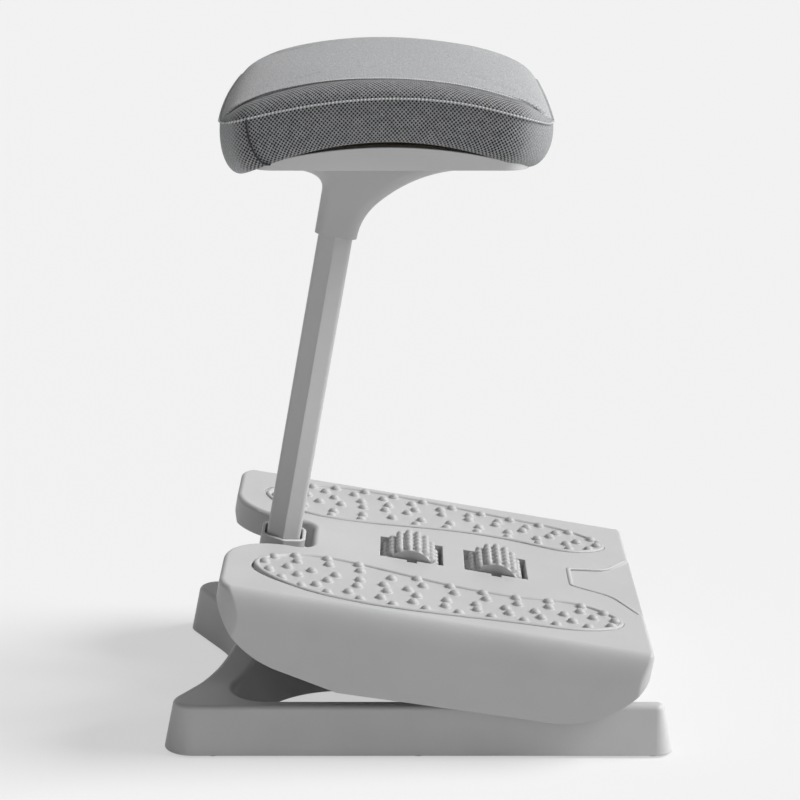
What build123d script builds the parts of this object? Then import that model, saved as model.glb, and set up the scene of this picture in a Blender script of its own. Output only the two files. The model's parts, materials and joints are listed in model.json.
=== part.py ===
from build123d import *
from math import cos, pi, radians, sin, tan
import os

os.makedirs("parts", exist_ok=True)

# Ergonomic footrest: a rocking foot plate on a moulded base, with a leg rest on a leaning post.
# Millimetres, +Z up, origin on the floor at the middle of the base.
# +X is the heel side, -X the toe side with the post, -Y the left foot, +Y the right foot.

# Base frame
base_length = 397.0
base_width = 308.0
floor_gap = 2.0
rail_height = 38.0
rail_width = 20.0
base_draft = 11.5
base_wall = 3.0
rail_end_radius = 13.5
gap_corner_radius = 20.0
rail_tip_radius = 6.0
base_edge_radius = 4.0
lobe_radius = 23.0
lobe_sweep = 30.0
waist_reach = 75.0
rear_band = 32.5
spine_width = 42.0
cross_bar_rear = 90.0
cross_bar_front = 150.0
well_corner_radius = 14.0
well_lobe_radius = 28.0
well_spine_radius = 70.0
ridge_height = 70.0
ridge_half_width = 16.0
ridge_reach = 104.0
foot_diameter = 13.0
foot_recess = 1.5
foot_boss_wall = 2.0
foot_end_inset = 16.0

# Foot plate, in its own sloping plane: x along the slope, z square to it
plate_slope = 9.8
plate_length = 340.0
plate_overhang = 8.0
plate_centre_x = 15.0
plate_centre_z = 114.0
plate_depth = 69.3
plate_keel_rise = 3.4
plate_wall = 2.6
plate_top_wall = 4.0
plate_shoulder_width = 10.0
plate_shoulder_drop = 26.0
plate_flare = 1.0
plate_tuck_angle = 16.0
plate_front_face = 9.5
plate_rear_face = 3.5
plate_keel_front = 101.0
plate_keel_rear = -67.0
plate_ramp_end = -115.0
plate_ramp_depth = 59.3
plate_front_corner = 14.0
plate_rear_corner = 26.0
plate_rim_radius = 4.0
notch_half_width = 34.0
notch_front = -101.0
notch_corner_radius = 14.0
notch_mouth_radius = 50.0
notch_rim_depth = 22.0
recess_depth = 1.2
recess_bevel = 55.0
recess_length = 57.0
recess_half_width = 21.0
recess_knee_length = 33.0
recess_knee_half_width = 33.0
recess_mouth_half_width = 72.0
recess_corner_radius = 4.0
recess_knee_radius = 26.0
rib_depth = 16.0
rib_thickness = 2.0
rib_spacing = 88.0

# Massage pads
pad_toe = (-146.0, 90.0)
pad_heel = (150.0, 95.0)
pad_sole = (
    (-119.0, 57.5, 128.0),
    (-57.0, 54.0, 144.5),
    (13.0, 68.8, 139.5),
    (78.0, 68.5, 131.5),
    (121.0, 66.0, 123.5),
)
pad_thickness = 2.0
pad_sink = 0.9
pad_groove = 0.8
nub_diameter = 8.6
nub_height = 3.6
nub_taper = 33.0
nub_sides = 8
nub_row_pitch = 13.2
nub_column_pitch = 25.5
nub_margin = 7.5
nub_stagger = (0.0, -11.0, -7.5, -4.0, -5.0, -3.0)

# Massage rollers
roller_radius = 22.0
roller_length = 45.7
roller_depth = 12.3
roller_rear_x = -19.7
roller_front_x = 50.3
roller_nub_height = 3.0
roller_nub_root = 0.5
roller_nub_width = 7.0
roller_nub_taper = 22.0
roller_nub_rows = 14
roller_nub_columns = 5
roller_end_gap = 2.0
roller_tip_gap = 1.2
roller_fit = 0.1
axle_diameter = 8.0
axle_fit = 0.1
axle_seat_depth = 5.0
axle_seat_wall = 4.0
pocket_wall = 2.2

# Pedal pivot
pivot_x = 124.0
pivot_z = 61.0
shaft_diameter = 10.0
shaft_fit = 0.05
shaft_groove = 0.8
shaft_end = 3.0
bracket_y = 98.0
bracket_thickness = 8.0
bracket_foot = 40.0
bracket_head_wall = 6.0
bracket_flange = 24.0
bracket_flange_thickness = 4.0
side_play = 0.4
boss_thickness = 12.0
boss_wall = 4.0
bush_wall = 3.0
bush_flange = 1.5
bush_fit = 0.05
clip_thickness = 1.5
clip_wall = 3.0
spring_wire = 3.0
spring_coil_length = 22.0
spring_gap = 0.6
spring_seat_gap = 1.4
bumper_diameter = 20.0
bumper_height = 12.0
bumper_x = -64.0
stop_diameter = 14.0
stop_gap = 0.5

# Post, along its own leaning axis
post_lean = 10.1
post_foot_x = -133.4
post_width = 27.4
post_depth = 39.0
post_side = 26.0
post_side_radius = 5.0
post_wall = 2.5
post_top = 432.0
plug_thickness = 5.0
plug_length = 18.0
plug_fit = 0.1
socket_gap = 1.6
socket_wall = 3.0
socket_floor = 10.0
socket_flange_thickness = 4.0
socket_flange_width = 10.0
socket_top = 137.0
socket_fit = 0.2
tower_wall = 3.5
tower_top = 92.0
tower_foot_height = 20.0
bush_top_setback = 12.0
bush_bottom_setback = 10.0
post_fit = 0.1
post_rest_gap = 0.5

# Neck, pan and cushion
neck_bottom = 391.0
neck_wall = 3.0
neck_fit = 0.1
neck_top_gap = 4.0
neck_straight = 34.0
neck_flare_rise = 56.0
neck_flare_reach = 99.0
neck_rear_reach = 34.0
neck_corner_radius = 9.0
hull_half_width = 122.0
hull_draw = 6.0
neck_screw_pitch = 56.0
neck_screw_y = 30.0
bolt_diameter = 6.0
bolt_head_diameter = 10.0
bolt_head_height = 4.0
bolt_length = 34.0
pan_bottom = 459.0
pan_centre_x = -21.5
pan_length = 205.0
pan_width = 292.0
pan_crown = 17.0
pan_lip = 2.4
pan_wall = 3.0
pan_corner_radius = 18.0
board_thickness = 4.0
board_length = 160.0
board_gap = 0.1
board_proud = 1.2
cushion_length = 243.0
cushion_width = 300.0
cushion_thickness = 45.0
cushion_crown = 2.0
cushion_tuck = 9.5
cushion_gap = 0.1
cushion_end_gap = 1.2
cushion_shoulder = 24.0
cushion_roll = 17.5
cushion_belly = 21.0
cushion_draw = 8.0

# Screws
screw_diameter = 4.0
screw_head_diameter = 7.0
screw_head_height = 2.4
screw_length = 11.0
screw_fit = 0.1
screw_boss_wall = 2.5


def keep(piece, name):
    piece.part.label = name
    export_step(piece.part, f"parts/{name}.step")


def side_name(side):
    return "left" if side < 0 else "right"


# Shared planes and points
half_length = base_length / 2
half_width = base_width / 2
base_plane = Plane.XY.offset(floor_gap)
rail_top = floor_gap + rail_height
slope = radians(plate_slope)
plate_along = (cos(slope), 0, -sin(slope))
plate_up = (sin(slope), 0, cos(slope))
plate_origin = (plate_centre_x, 0, plate_centre_z)
plate_plane = Plane(plate_origin, x_dir=plate_along, z_dir=plate_up)
section_plane = Plane(plate_origin, x_dir=(0, 1, 0), z_dir=plate_along)
profile_plane = Plane(plate_origin, x_dir=plate_along, z_dir=(0, -1, 0))
lean = radians(post_lean)
post_plane = Plane((post_foot_x, 0, 0), x_dir=(cos(lean), 0, -sin(lean)), z_dir=(sin(lean), 0, cos(lean)))
pivot_local = plate_plane.to_local_coords(Vector(pivot_x, 0, pivot_z))
pivot_plane = Plane((pivot_x, 0, pivot_z), x_dir=(1, 0, 0), z_dir=(0, -1, 0))
screw_hole = screw_diameter / 2 + screw_fit


def across(plane, y):
    return plane.offset(-y)


def screw_set(plane, spots, length=screw_length):
    with BuildPart() as screws:
        with BuildSketch(plane):
            with Locations(spots):
                Circle(screw_diameter / 2)
        extrude(amount=length)
        with BuildSketch(plane):
            with Locations(spots):
                Circle(screw_head_diameter / 2)
        extrude(amount=-screw_head_height)
    return screws


# Plan of the base: straight sides, rounded lobes at the toe end and a concave rear bow
sweep_run = tan(radians(lobe_sweep))
lobe_run = 1 / tan(radians(90 - lobe_sweep) / 2)
lobe_x = -half_length - (lobe_run - 1) * lobe_radius
bow_radius = waist_reach / sin(radians(lobe_sweep))
bow_end_x = lobe_x + (half_width - waist_reach) * sweep_run
bow_x = bow_end_x + bow_radius * (1 - cos(radians(lobe_sweep)))

with BuildSketch() as base_plan:
    with BuildLine():
        FilletPolyline(
            (bow_end_x, -waist_reach),
            (lobe_x, -half_width),
            (half_length, -half_width),
            (half_length, half_width),
            (lobe_x, half_width),
            (bow_end_x, waist_reach),
            radius=[lobe_radius, rail_end_radius, rail_end_radius, lobe_radius],
        )
        ThreePointArc((bow_end_x, waist_reach), (bow_x, 0), (bow_end_x, -waist_reach))
    make_face()

# Openings of the base: a well on each side of the spine and the gap between the rails in front
well_side = half_width - rail_width
well_rear_x = lobe_x + rail_width * sweep_run + rear_band / cos(radians(lobe_sweep))
spine_half = spine_width / 2
well_spine_x = well_rear_x + (well_side - spine_half) * sweep_run

with BuildSketch() as well_plan:
    with BuildLine():
        FilletPolyline(
            (cross_bar_rear, well_side),
            (well_rear_x, well_side),
            (well_spine_x, spine_half),
            (cross_bar_rear, spine_half),
            radius=[well_corner_radius, well_lobe_radius, well_spine_radius, well_corner_radius],
            close=True,
        )
    make_face()
    mirror(about=Plane.XZ)

with BuildSketch() as front_gap_plan:
    with Locations((half_length + gap_corner_radius, 0)):
        Rectangle(2 * (half_length + gap_corner_radius - cross_bar_front), 2 * well_side)
    fillet(front_gap_plan.vertices().group_by(Axis.X)[0], gap_corner_radius)

# Post section: six sides, with soft side flats and a crease on each broad face
with BuildSketch() as post_section:
    Polygon(
        (-post_width / 2, -post_side / 2),
        (0, -post_depth / 2),
        (post_width / 2, -post_side / 2),
        (post_width / 2, post_side / 2),
        (0, post_depth / 2),
        (-post_width / 2, post_side / 2),
        align=None,
    )
    creases = post_section.vertices().group_by(Axis.X)[1]
    fillet(post_section.vertices() - creases, post_side_radius)


def post_prism(outset, bottom, top, bore=None):
    with BuildPart() as prism:
        with BuildSketch(post_plane.offset(bottom)):
            offset(post_section.sketch, amount=outset)
            if bore is not None:
                offset(post_section.sketch, amount=bore, mode=Mode.SUBTRACT)
        extrude(amount=top - bottom)
    return prism


# Tower: a leaning boss round the post's socket, on a block that takes the socket's screws
socket_outset = socket_gap + socket_wall
tower_bottom = socket_floor + socket_flange_thickness
tower_hole = socket_outset + socket_fit
flange_front = post_width / 2 + socket_outset + socket_flange_width
flange_rear = post_width / 2 + socket_outset
flange_half = post_depth / 2 + socket_outset + socket_flange_width
flange_screw_y = flange_half - socket_flange_width / 2
flange_spots = [
    (x, side * flange_screw_y)
    for x in (-post_width / 4, flange_front - socket_flange_width / 2)
    for side in (-1, 1)
]
with BuildSketch() as flange_plan:
    with Locations(((flange_front - flange_rear) / 2, 0)):
        Rectangle(flange_front + flange_rear, 2 * flange_half)
    fillet(flange_plan.vertices(), socket_flange_width / 2)

tower = post_prism(tower_hole + tower_wall, tower_bottom, tower_top)
tower_bore = post_prism(tower_hole, 0, tower_top + tower_wall)
with BuildPart() as tower_foot:
    with BuildSketch(post_plane.offset(tower_bottom)):
        add(flange_plan.sketch)
    extrude(amount=tower_foot_height)
with BuildPart() as flange_pocket:
    with BuildSketch(post_plane.offset(tower_bottom)):
        offset(flange_plan.sketch, amount=socket_fit)
    extrude(amount=-tower_bottom)

# Hollow of the base, open underneath, with solid bosses left over feet, screws and tower
foot_y = half_width - rail_width / 2
foot_ends = {
    "front": half_length - foot_end_inset,
    "middle": 0,
    "rear": -half_length + foot_end_inset + lobe_radius,
}
foot_spots = [(x, side * foot_y) for x in foot_ends.values() for side in (-1, 1)]
flange_y = bracket_y - bracket_thickness / 2 - bracket_flange / 2
bracket_spots = {
    side: [(pivot_x + end * bracket_foot / 3, side * flange_y) for end in (-1, 1)]
    for side in (-1, 1)
}
with BuildPart() as base_hollow:
    with BuildSketch(base_plane):
        offset(base_plan.sketch, amount=-base_wall)
    extrude(amount=rail_height - base_wall, taper=base_draft)
    with BuildSketch(base_plane):
        offset(well_plan.sketch, amount=base_wall, mode=Mode.ADD)
        offset(front_gap_plan.sketch, amount=base_wall, mode=Mode.ADD)
        with Locations(foot_spots):
            Circle(foot_diameter / 2 + foot_boss_wall)
        with Locations(bracket_spots[-1] + bracket_spots[1]):
            Circle(screw_hole + screw_boss_wall)
    extrude(amount=rail_height, mode=Mode.SUBTRACT)
    add(tower.part, mode=Mode.SUBTRACT)
    add(tower_foot.part, mode=Mode.SUBTRACT)

with BuildPart() as base_frame:
    with BuildSketch(base_plane):
        add(base_plan.sketch)
    extrude(amount=ridge_height - floor_gap, taper=base_draft)
    # The rear bow swells towards the post, and the rest is level at the rails' height
    with BuildSketch(Plane.YZ.offset(-half_length)):
        with BuildLine():
            Line((-ridge_half_width, ridge_height), (ridge_half_width, ridge_height))
            Spline(
                (ridge_half_width, ridge_height),
                (ridge_reach, rail_top),
                tangents=((1, 0), (1, 0)),
            )
            Polyline(
                (ridge_reach, rail_top),
                (half_width, rail_top),
                (half_width, floor_gap),
                (-half_width, floor_gap),
                (-half_width, rail_top),
                (-ridge_reach, rail_top),
            )
            Spline(
                (-ridge_reach, rail_top),
                (-ridge_half_width, ridge_height),
                tangents=((1, 0), (1, 0)),
            )
        make_face()
    extrude(amount=base_length, mode=Mode.INTERSECT)
    with BuildSketch(Plane.XY.offset(rail_top)):
        with Locations((well_spine_x + half_length, 0)):
            Rectangle(base_length, base_width)
    extrude(amount=ridge_height, mode=Mode.SUBTRACT)
    with BuildSketch(base_plane):
        add(well_plan.sketch)
        add(front_gap_plan.sketch)
    extrude(amount=ridge_height, mode=Mode.SUBTRACT)
    gap_walls = base_frame.edges().filter_by(lambda edge: abs(abs(edge.center().Y) - well_side) < 0.01)
    tips = gap_walls.group_by(Axis.X)[-1].filter_by(lambda edge: edge.length > rail_height)
    fillet(tips, rail_tip_radius)
    fillet(base_frame.edges().filter_by(lambda edge: edge.center().Z > rail_top - 0.01), base_edge_radius)
    add(base_hollow.part, mode=Mode.SUBTRACT)
    add(tower.part)
    add(tower_bore.part, mode=Mode.SUBTRACT)
    add(flange_pocket.part, mode=Mode.SUBTRACT)
    with BuildSketch(base_plane):
        with Locations(foot_spots):
            Circle(foot_diameter / 2)
    extrude(amount=foot_recess, mode=Mode.SUBTRACT)
    with BuildSketch(post_plane.offset(tower_bottom)):
        with Locations(flange_spots):
            Circle(screw_hole)
    extrude(amount=screw_length, mode=Mode.SUBTRACT)
    with BuildSketch(Plane.XY.offset(rail_top)):
        with Locations(bracket_spots[-1] + bracket_spots[1]):
            Circle(screw_hole)
    extrude(amount=-screw_length, mode=Mode.SUBTRACT)
keep(base_frame, "base_frame")

# Rubber feet
for end, x in foot_ends.items():
    for side in (-1, 1):
        with BuildPart() as foot:
            with BuildSketch():
                with Locations((x, side * foot_y)):
                    Circle(foot_diameter / 2)
            extrude(amount=floor_gap + foot_recess)
            chamfer(foot.edges().group_by(Axis.Z)[0], floor_gap / 4)
        keep(foot, f"{side_name(side)}_{end}_foot")

# Post socket: a flanged sleeve pushed up through the tower, with its rim in the plate's notch
with BuildPart() as post_socket:
    with BuildSketch(post_plane.offset(socket_floor)):
        add(flange_plan.sketch)
    extrude(amount=socket_flange_thickness)
    with BuildSketch(post_plane.offset(tower_bottom)):
        offset(post_section.sketch, amount=socket_outset)
    extrude(amount=socket_top - tower_bottom)
    with BuildSketch(post_plane.offset(tower_bottom)):
        offset(post_section.sketch, amount=socket_gap)
    extrude(amount=socket_top - tower_bottom, mode=Mode.SUBTRACT)
    with BuildSketch(post_plane.offset(socket_floor)):
        with Locations(flange_spots):
            Circle(screw_hole)
    extrude(amount=socket_flange_thickness, mode=Mode.SUBTRACT)
    rim = post_socket.faces().sort_by(Axis((0, 0, 0), post_plane.z_dir))[-1]
    chamfer(rim.edges(), socket_wall / 4)
keep(post_socket, "post_socket")
keep(screw_set(post_plane.offset(socket_floor), flange_spots), "socket_screws")

# Friction bush between the socket and the post
bush_bottom = tower_bottom + bush_bottom_setback
socket_bush = post_prism(socket_gap - bush_fit, bush_bottom, socket_top - bush_top_setback, bore=post_fit)
keep(socket_bush, "socket_bush")

# Pivot brackets on the cross bar, their screws and the pivot shaft
shaft_hole = shaft_diameter / 2 + shaft_fit
for side in (-1, 1):
    with BuildPart() as bracket:
        with BuildSketch(across(pivot_plane, side * bracket_y)):
            Circle(shaft_hole + bracket_head_wall)
            with Locations((0, rail_top - pivot_z + bracket_flange_thickness / 2)):
                Rectangle(bracket_foot, bracket_flange_thickness)
            make_hull()
            Circle(shaft_hole, mode=Mode.SUBTRACT)
        extrude(amount=bracket_thickness / 2, both=True)
        with BuildSketch(Plane.XY.offset(rail_top)):
            with Locations((pivot_x, side * flange_y)):
                Rectangle(bracket_foot, bracket_flange)
        extrude(amount=bracket_flange_thickness)
        with BuildSketch(Plane.XY.offset(rail_top)):
            with Locations(bracket_spots[side]):
                Circle(screw_hole)
        extrude(amount=bracket_flange_thickness, mode=Mode.SUBTRACT)
    keep(bracket, f"{side_name(side)}_pivot_bracket")

bracket_screw_plane = Plane((0, 0, rail_top + bracket_flange_thickness), x_dir=(1, 0, 0), z_dir=(0, 0, -1))
bracket_screw_spots = [(x, -y) for x, y in bracket_spots[-1] + bracket_spots[1]]
keep(screw_set(bracket_screw_plane, bracket_screw_spots), "bracket_screws")

bracket_outer = bracket_y + bracket_thickness / 2
boss_inner = bracket_outer + side_play + bush_flange
boss_outer = boss_inner + boss_thickness
boss_y = (boss_inner + boss_outer) / 2
clip_y = boss_outer + side_play + clip_thickness / 2
shaft_half = clip_y + clip_thickness / 2 + shaft_end
groove_radius = shaft_diameter / 2 - shaft_groove
with BuildPart() as pivot_shaft:
    with BuildSketch(pivot_plane):
        Circle(shaft_diameter / 2)
    extrude(amount=shaft_half, both=True)
    for side in (-1, 1):
        with BuildSketch(across(pivot_plane, side * clip_y)):
            Circle(shaft_diameter)
            Circle(groove_radius, mode=Mode.SUBTRACT)
        extrude(amount=clip_thickness / 2 + shaft_fit, both=True, mode=Mode.SUBTRACT)
    shaft_ends = pivot_shaft.edges().group_by(Axis.Y)
    chamfer(shaft_ends[0] + shaft_ends[-1], shaft_groove)
keep(pivot_shaft, "pivot_shaft")

for side in (-1, 1):
    with BuildPart() as clip:
        with BuildSketch(across(pivot_plane, side * clip_y)):
            Circle(groove_radius + clip_wall)
            Circle(groove_radius + shaft_fit, mode=Mode.SUBTRACT)
            with Locations((0, -shaft_diameter)):
                Rectangle(groove_radius, 2 * shaft_diameter, mode=Mode.SUBTRACT)
        extrude(amount=clip_thickness / 2, both=True)
    keep(clip, f"{side_name(side)}_shaft_clip")

# Torsion springs on the shaft: a closed coil, one arm under the plate and one on the cross bar
coil_inner = shaft_diameter / 2 + spring_gap
coil_outer = coil_inner + spring_wire
coil_y = bracket_y - bracket_thickness / 2 - spring_gap - spring_coil_length / 2
arm_x = (coil_inner + coil_outer) / 2
arm_inset = spring_coil_length / 2 - spring_wire / 2
arm_radius = 0.4 * spring_wire
plate_under = plate_plane.offset(-plate_top_wall)
arm_top = plate_under.origin.Z - (pivot_x - arm_x - plate_under.origin.X) * tan(slope) - spring_seat_gap
arm_top -= arm_radius * sin(slope)
for side in (-1, 1):
    with BuildPart() as spring:
        with BuildSketch(across(pivot_plane, side * coil_y)):
            Circle(coil_outer)
            Circle(coil_inner, mode=Mode.SUBTRACT)
        extrude(amount=spring_coil_length / 2, both=True)
        with BuildSketch(Plane.XY.offset(pivot_z)):
            with Locations((pivot_x - arm_x, side * (coil_y - arm_inset))):
                Circle(arm_radius)
        extrude(amount=arm_top - pivot_z)
        with BuildSketch(Plane.XY.offset(pivot_z)):
            with Locations((pivot_x + arm_x, side * (coil_y - arm_inset))):
                Circle(arm_radius)
        extrude(amount=rail_top + bracket_flange_thickness + spring_seat_gap - pivot_z)
    keep(spring, f"{side_name(side)}_return_spring")

# Rubber stop on the spine
with BuildPart() as stop_bumper:
    with BuildSketch(Plane.XY.offset(rail_top)):
        with Locations((bumper_x, 0)):
            Circle(bumper_diameter / 2)
    extrude(amount=bumper_height)
    chamfer(stop_bumper.edges().group_by(Axis.Z)[-1], bumper_height / 6)
keep(stop_bumper, "stop_bumper")

# Foot plate: its cross-section, side profile and plan, met in one solid
plate_half = plate_length / 2
plate_width = base_width + 2 * plate_overhang
plate_side = plate_width / 2
section_depth = plate_depth + plate_top_wall + plate_wall
shoulder_side = plate_side - plate_flare
flat_half = shoulder_side - plate_shoulder_width


def plate_section(inset):
    with BuildSketch() as section:
        with BuildLine():
            Line((0, -inset), (flat_half, -inset))
            shoulder = EllipticalCenterArc(
                (flat_half, -plate_shoulder_drop),
                plate_shoulder_width - inset,
                plate_shoulder_drop - inset,
                90,
                arc_size=-90 - plate_tuck_angle,
            )
            TangentArc(shoulder @ 1, (plate_side - inset, -section_depth), tangent=shoulder % 1)
            Polyline((plate_side - inset, -section_depth), (0, -section_depth), (0, -inset))
        make_face()
        mirror(about=Plane.YZ)
    return section.sketch


overrun = plate_top_wall
plate_end = plate_half + overrun
with BuildSketch() as plate_profile:
    with BuildLine():
        Polyline(
            (plate_ramp_end, -plate_ramp_depth),
            (plate_keel_rear, -plate_depth),
            (plate_keel_front, plate_keel_rise - plate_depth),
        )
        TangentArc(
            (plate_keel_front, plate_keel_rise - plate_depth),
            (plate_end, -plate_front_face),
            tangent=(plate_keel_front - plate_keel_rear, plate_keel_rise),
        )
        Polyline(
            (plate_end, -plate_front_face),
            (plate_end, overrun),
            (-plate_end, overrun),
            (-plate_end, -plate_rear_face),
        )
        TangentArc(
            (plate_ramp_end, -plate_ramp_depth),
            (-plate_end, -plate_rear_face),
            tangent=(plate_ramp_end - plate_keel_rear, plate_depth - plate_ramp_depth),
        )
    make_face()

with BuildSketch() as plate_plan:
    Rectangle(plate_length, plate_width)
    fillet(plate_plan.vertices().group_by(Axis.X)[0], plate_rear_corner)
    fillet(plate_plan.vertices().group_by(Axis.X)[-1], plate_front_corner)

with BuildSketch() as notch_plan:
    with BuildLine():
        mouth = CenterArc(
            (-plate_half + notch_mouth_radius, notch_half_width + notch_mouth_radius),
            notch_mouth_radius,
            180,
            90,
        )
        Polyline(
            mouth @ 1,
            (notch_front, notch_half_width),
            (notch_front, 0),
            (-plate_half - notch_mouth_radius, 0),
            (-plate_half - notch_mouth_radius, notch_half_width + notch_mouth_radius),
            mouth @ 0,
        )
    make_face()
    mirror(about=Plane.XZ)
    fillet(notch_plan.vertices().group_by(Axis.X)[-1], notch_corner_radius)

with BuildPart() as plate_body:
    with BuildSketch(section_plane):
        add(plate_section(0))
    extrude(amount=plate_end, both=True)
    with BuildSketch(profile_plane):
        add(plate_profile.sketch)
    extrude(amount=plate_side + overrun, both=True, mode=Mode.INTERSECT)
    with BuildSketch(plate_plane):
        add(plate_plan.sketch)
    extrude(amount=section_depth, both=True, mode=Mode.INTERSECT)
    with BuildSketch(plate_plane):
        add(notch_plan.sketch)
    extrude(amount=section_depth, both=True, mode=Mode.SUBTRACT)
    plate_top = plate_body.faces().sort_by(Axis(plate_origin, plate_up))[-1]
    rim = plate_top.edges().filter_by(lambda edge: abs((edge @ 0.5).Y) < flat_half - plate_wall)
    fillet(rim, plate_rim_radius)

with BuildPart() as plate_hollow:
    with BuildSketch(section_plane):
        add(plate_section(plate_wall))
    extrude(amount=plate_half, both=True)
    with BuildSketch(plate_plane.offset(-plate_top_wall)):
        offset(plate_plan.sketch, amount=-plate_wall)
    extrude(amount=-section_depth, mode=Mode.INTERSECT)

with BuildPart() as notch_rim:
    with BuildSketch(plate_plane):
        offset(notch_plan.sketch, amount=plate_wall)
        add(notch_plan.sketch, mode=Mode.SUBTRACT)
    extrude(amount=-notch_rim_depth)
    add(plate_body.part, mode=Mode.INTERSECT)

# Pads, pockets and bosses of the plate
roller_tip = roller_radius + roller_nub_height
slot_length = 2 * (roller_tip + roller_tip_gap)
slot_width = roller_length + 2 * roller_end_gap
pocket_depth = roller_depth + roller_tip + roller_tip_gap
seat_depth = roller_depth + axle_diameter / 2 + axle_seat_wall
seat_width = axle_diameter + 2 * axle_seat_wall
seat_reach = slot_width + 2 * (axle_seat_depth + pocket_wall)
roller_spots = [(roller_rear_x, 0), (roller_front_x, 0)]
bush_outer = shaft_hole + bush_wall
boss_radius = bush_outer + bush_fit + boss_wall
stop_x = pivot_local.X - (pivot_x - bumper_x)
stop_bottom = rail_top + bumper_height + stop_gap - pivot_z + pivot_local.Z


def pad_face(outset):
    inner_edge = [(x, inner - outset) for x, inner, _ in pad_sole]
    outer_edge = [(x, outer + outset) for x, _, outer in reversed(pad_sole)]
    toe_tip = (pad_toe[0] - outset, pad_toe[1])
    heel_tip = (pad_heel[0] + outset, pad_heel[1])
    with BuildSketch() as face:
        with BuildLine():
            Spline(toe_tip, *inner_edge, heel_tip, *outer_edge, periodic=True)
        make_face()
    return face


pad_seat = pad_face(pad_groove / 2)
with BuildSketch() as recess_plan:
    with BuildLine():
        recess_rear = plate_half - recess_length
        recess_knee = plate_half - recess_length + recess_knee_length
        recess_end = plate_half + recess_knee_radius
        FilletPolyline(
            (recess_rear, 0),
            (recess_rear, recess_half_width),
            (recess_knee, recess_knee_half_width),
            (plate_half, recess_mouth_half_width),
            (recess_end, recess_mouth_half_width),
            radius=[recess_corner_radius, recess_knee_radius, recess_corner_radius],
        )
        Polyline((recess_end, recess_mouth_half_width), (recess_end, 0), (recess_rear, 0))
    make_face()
    mirror(about=Plane.XZ)

with BuildPart() as pedal_plate:
    add(plate_body.part)
    add(plate_hollow.part, mode=Mode.SUBTRACT)
    # Ribs under the top
    with BuildSketch(plate_plane.offset(-plate_top_wall / 2)):
        with GridLocations(1, rib_spacing, 1, 2):
            Rectangle(plate_length - 4 * plate_wall, rib_thickness)
        with GridLocations(rib_spacing, 1, 3, 1):
            Rectangle(rib_thickness, 2 * flat_half)
    extrude(amount=-rib_depth)
    with BuildSketch(plate_plane.offset(-plate_top_wall / 2)):
        with Locations((stop_x, 0)):
            Circle(stop_diameter / 2)
    extrude(amount=stop_bottom + plate_top_wall / 2)
    # Pivot bosses
    for side in (-1, 1):
        with BuildSketch(across(profile_plane, side * boss_y)):
            with Locations((pivot_local.X, pivot_local.Z)):
                Circle(boss_radius)
            with Locations((pivot_local.X, -plate_top_wall)):
                Rectangle(4 * boss_radius, plate_top_wall)
            make_hull()
            with Locations((pivot_local.X, pivot_local.Z)):
                Circle(bush_outer + bush_fit, mode=Mode.SUBTRACT)
        extrude(amount=boss_thickness / 2, both=True)
    # Roller pockets with their axle seats
    with BuildSketch(plate_plane):
        with Locations(roller_spots):
            Rectangle(slot_length + 2 * pocket_wall, slot_width + 2 * pocket_wall)
    extrude(amount=-pocket_depth - pocket_wall)
    with BuildSketch(plate_plane):
        with Locations(roller_spots):
            Rectangle(seat_width, seat_reach)
    extrude(amount=-seat_depth)
    with BuildSketch(plate_plane):
        with Locations(roller_spots):
            Rectangle(slot_length, slot_width)
    extrude(amount=-pocket_depth, mode=Mode.SUBTRACT)
    with BuildSketch(plate_plane):
        with Locations(roller_spots):
            Rectangle(axle_diameter + 2 * axle_fit, slot_width + 2 * axle_seat_depth)
    extrude(amount=-roller_depth, mode=Mode.SUBTRACT)
    with BuildSketch(profile_plane):
        with Locations([(x, -roller_depth) for x, _ in roller_spots]):
            Circle(axle_diameter / 2 + axle_fit)
    extrude(amount=slot_width / 2 + axle_seat_depth, both=True, mode=Mode.SUBTRACT)
    # Notch for the post, pad seats and the shallow bare recess at the heel
    with BuildSketch(plate_plane):
        add(notch_plan.sketch)
    extrude(amount=section_depth, both=True, mode=Mode.SUBTRACT)
    add(notch_rim.part)
    with BuildSketch(plate_plane):
        add(pad_seat.sketch)
        mirror(about=Plane.XZ)
    extrude(amount=-pad_sink - pad_thickness, mode=Mode.SUBTRACT)
    with BuildSketch(plate_plane):
        add(recess_plan.sketch)
    extrude(amount=-recess_depth, taper=recess_bevel, mode=Mode.SUBTRACT)
keep(pedal_plate, "pedal_plate")

# Bushes of the pedal's pivot
for side in (-1, 1):
    with BuildPart() as pivot_bush:
        with BuildSketch(across(pivot_plane, side * boss_y)):
            Circle(bush_outer)
            Circle(shaft_hole, mode=Mode.SUBTRACT)
        extrude(amount=boss_thickness / 2, both=True)
        with BuildSketch(across(pivot_plane, side * (boss_inner - bush_flange / 2))):
            Circle(bush_outer + bush_wall)
            Circle(shaft_hole, mode=Mode.SUBTRACT)
        extrude(amount=bush_flange / 2, both=True)
    keep(pivot_bush, f"{side_name(side)}_pivot_bush")

# Massage pads: inserts in the plate, with staggered columns of nubs
nub_field = pad_face(-nub_margin)
nub_columns = int((pad_heel[0] - pad_toe[0]) / nub_column_pitch) + 2


def sole_edges(x):
    stations = [(pad_toe[0], pad_toe[1], pad_toe[1]), *pad_sole, (pad_heel[0], pad_heel[1], pad_heel[1])]
    for rear, front in zip(stations, stations[1:]):
        share = (x - rear[0]) / (front[0] - rear[0])
        if share <= 1:
            break
    return [a + share * (b - a) for a, b in zip(rear[1:], front[1:])]


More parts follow.
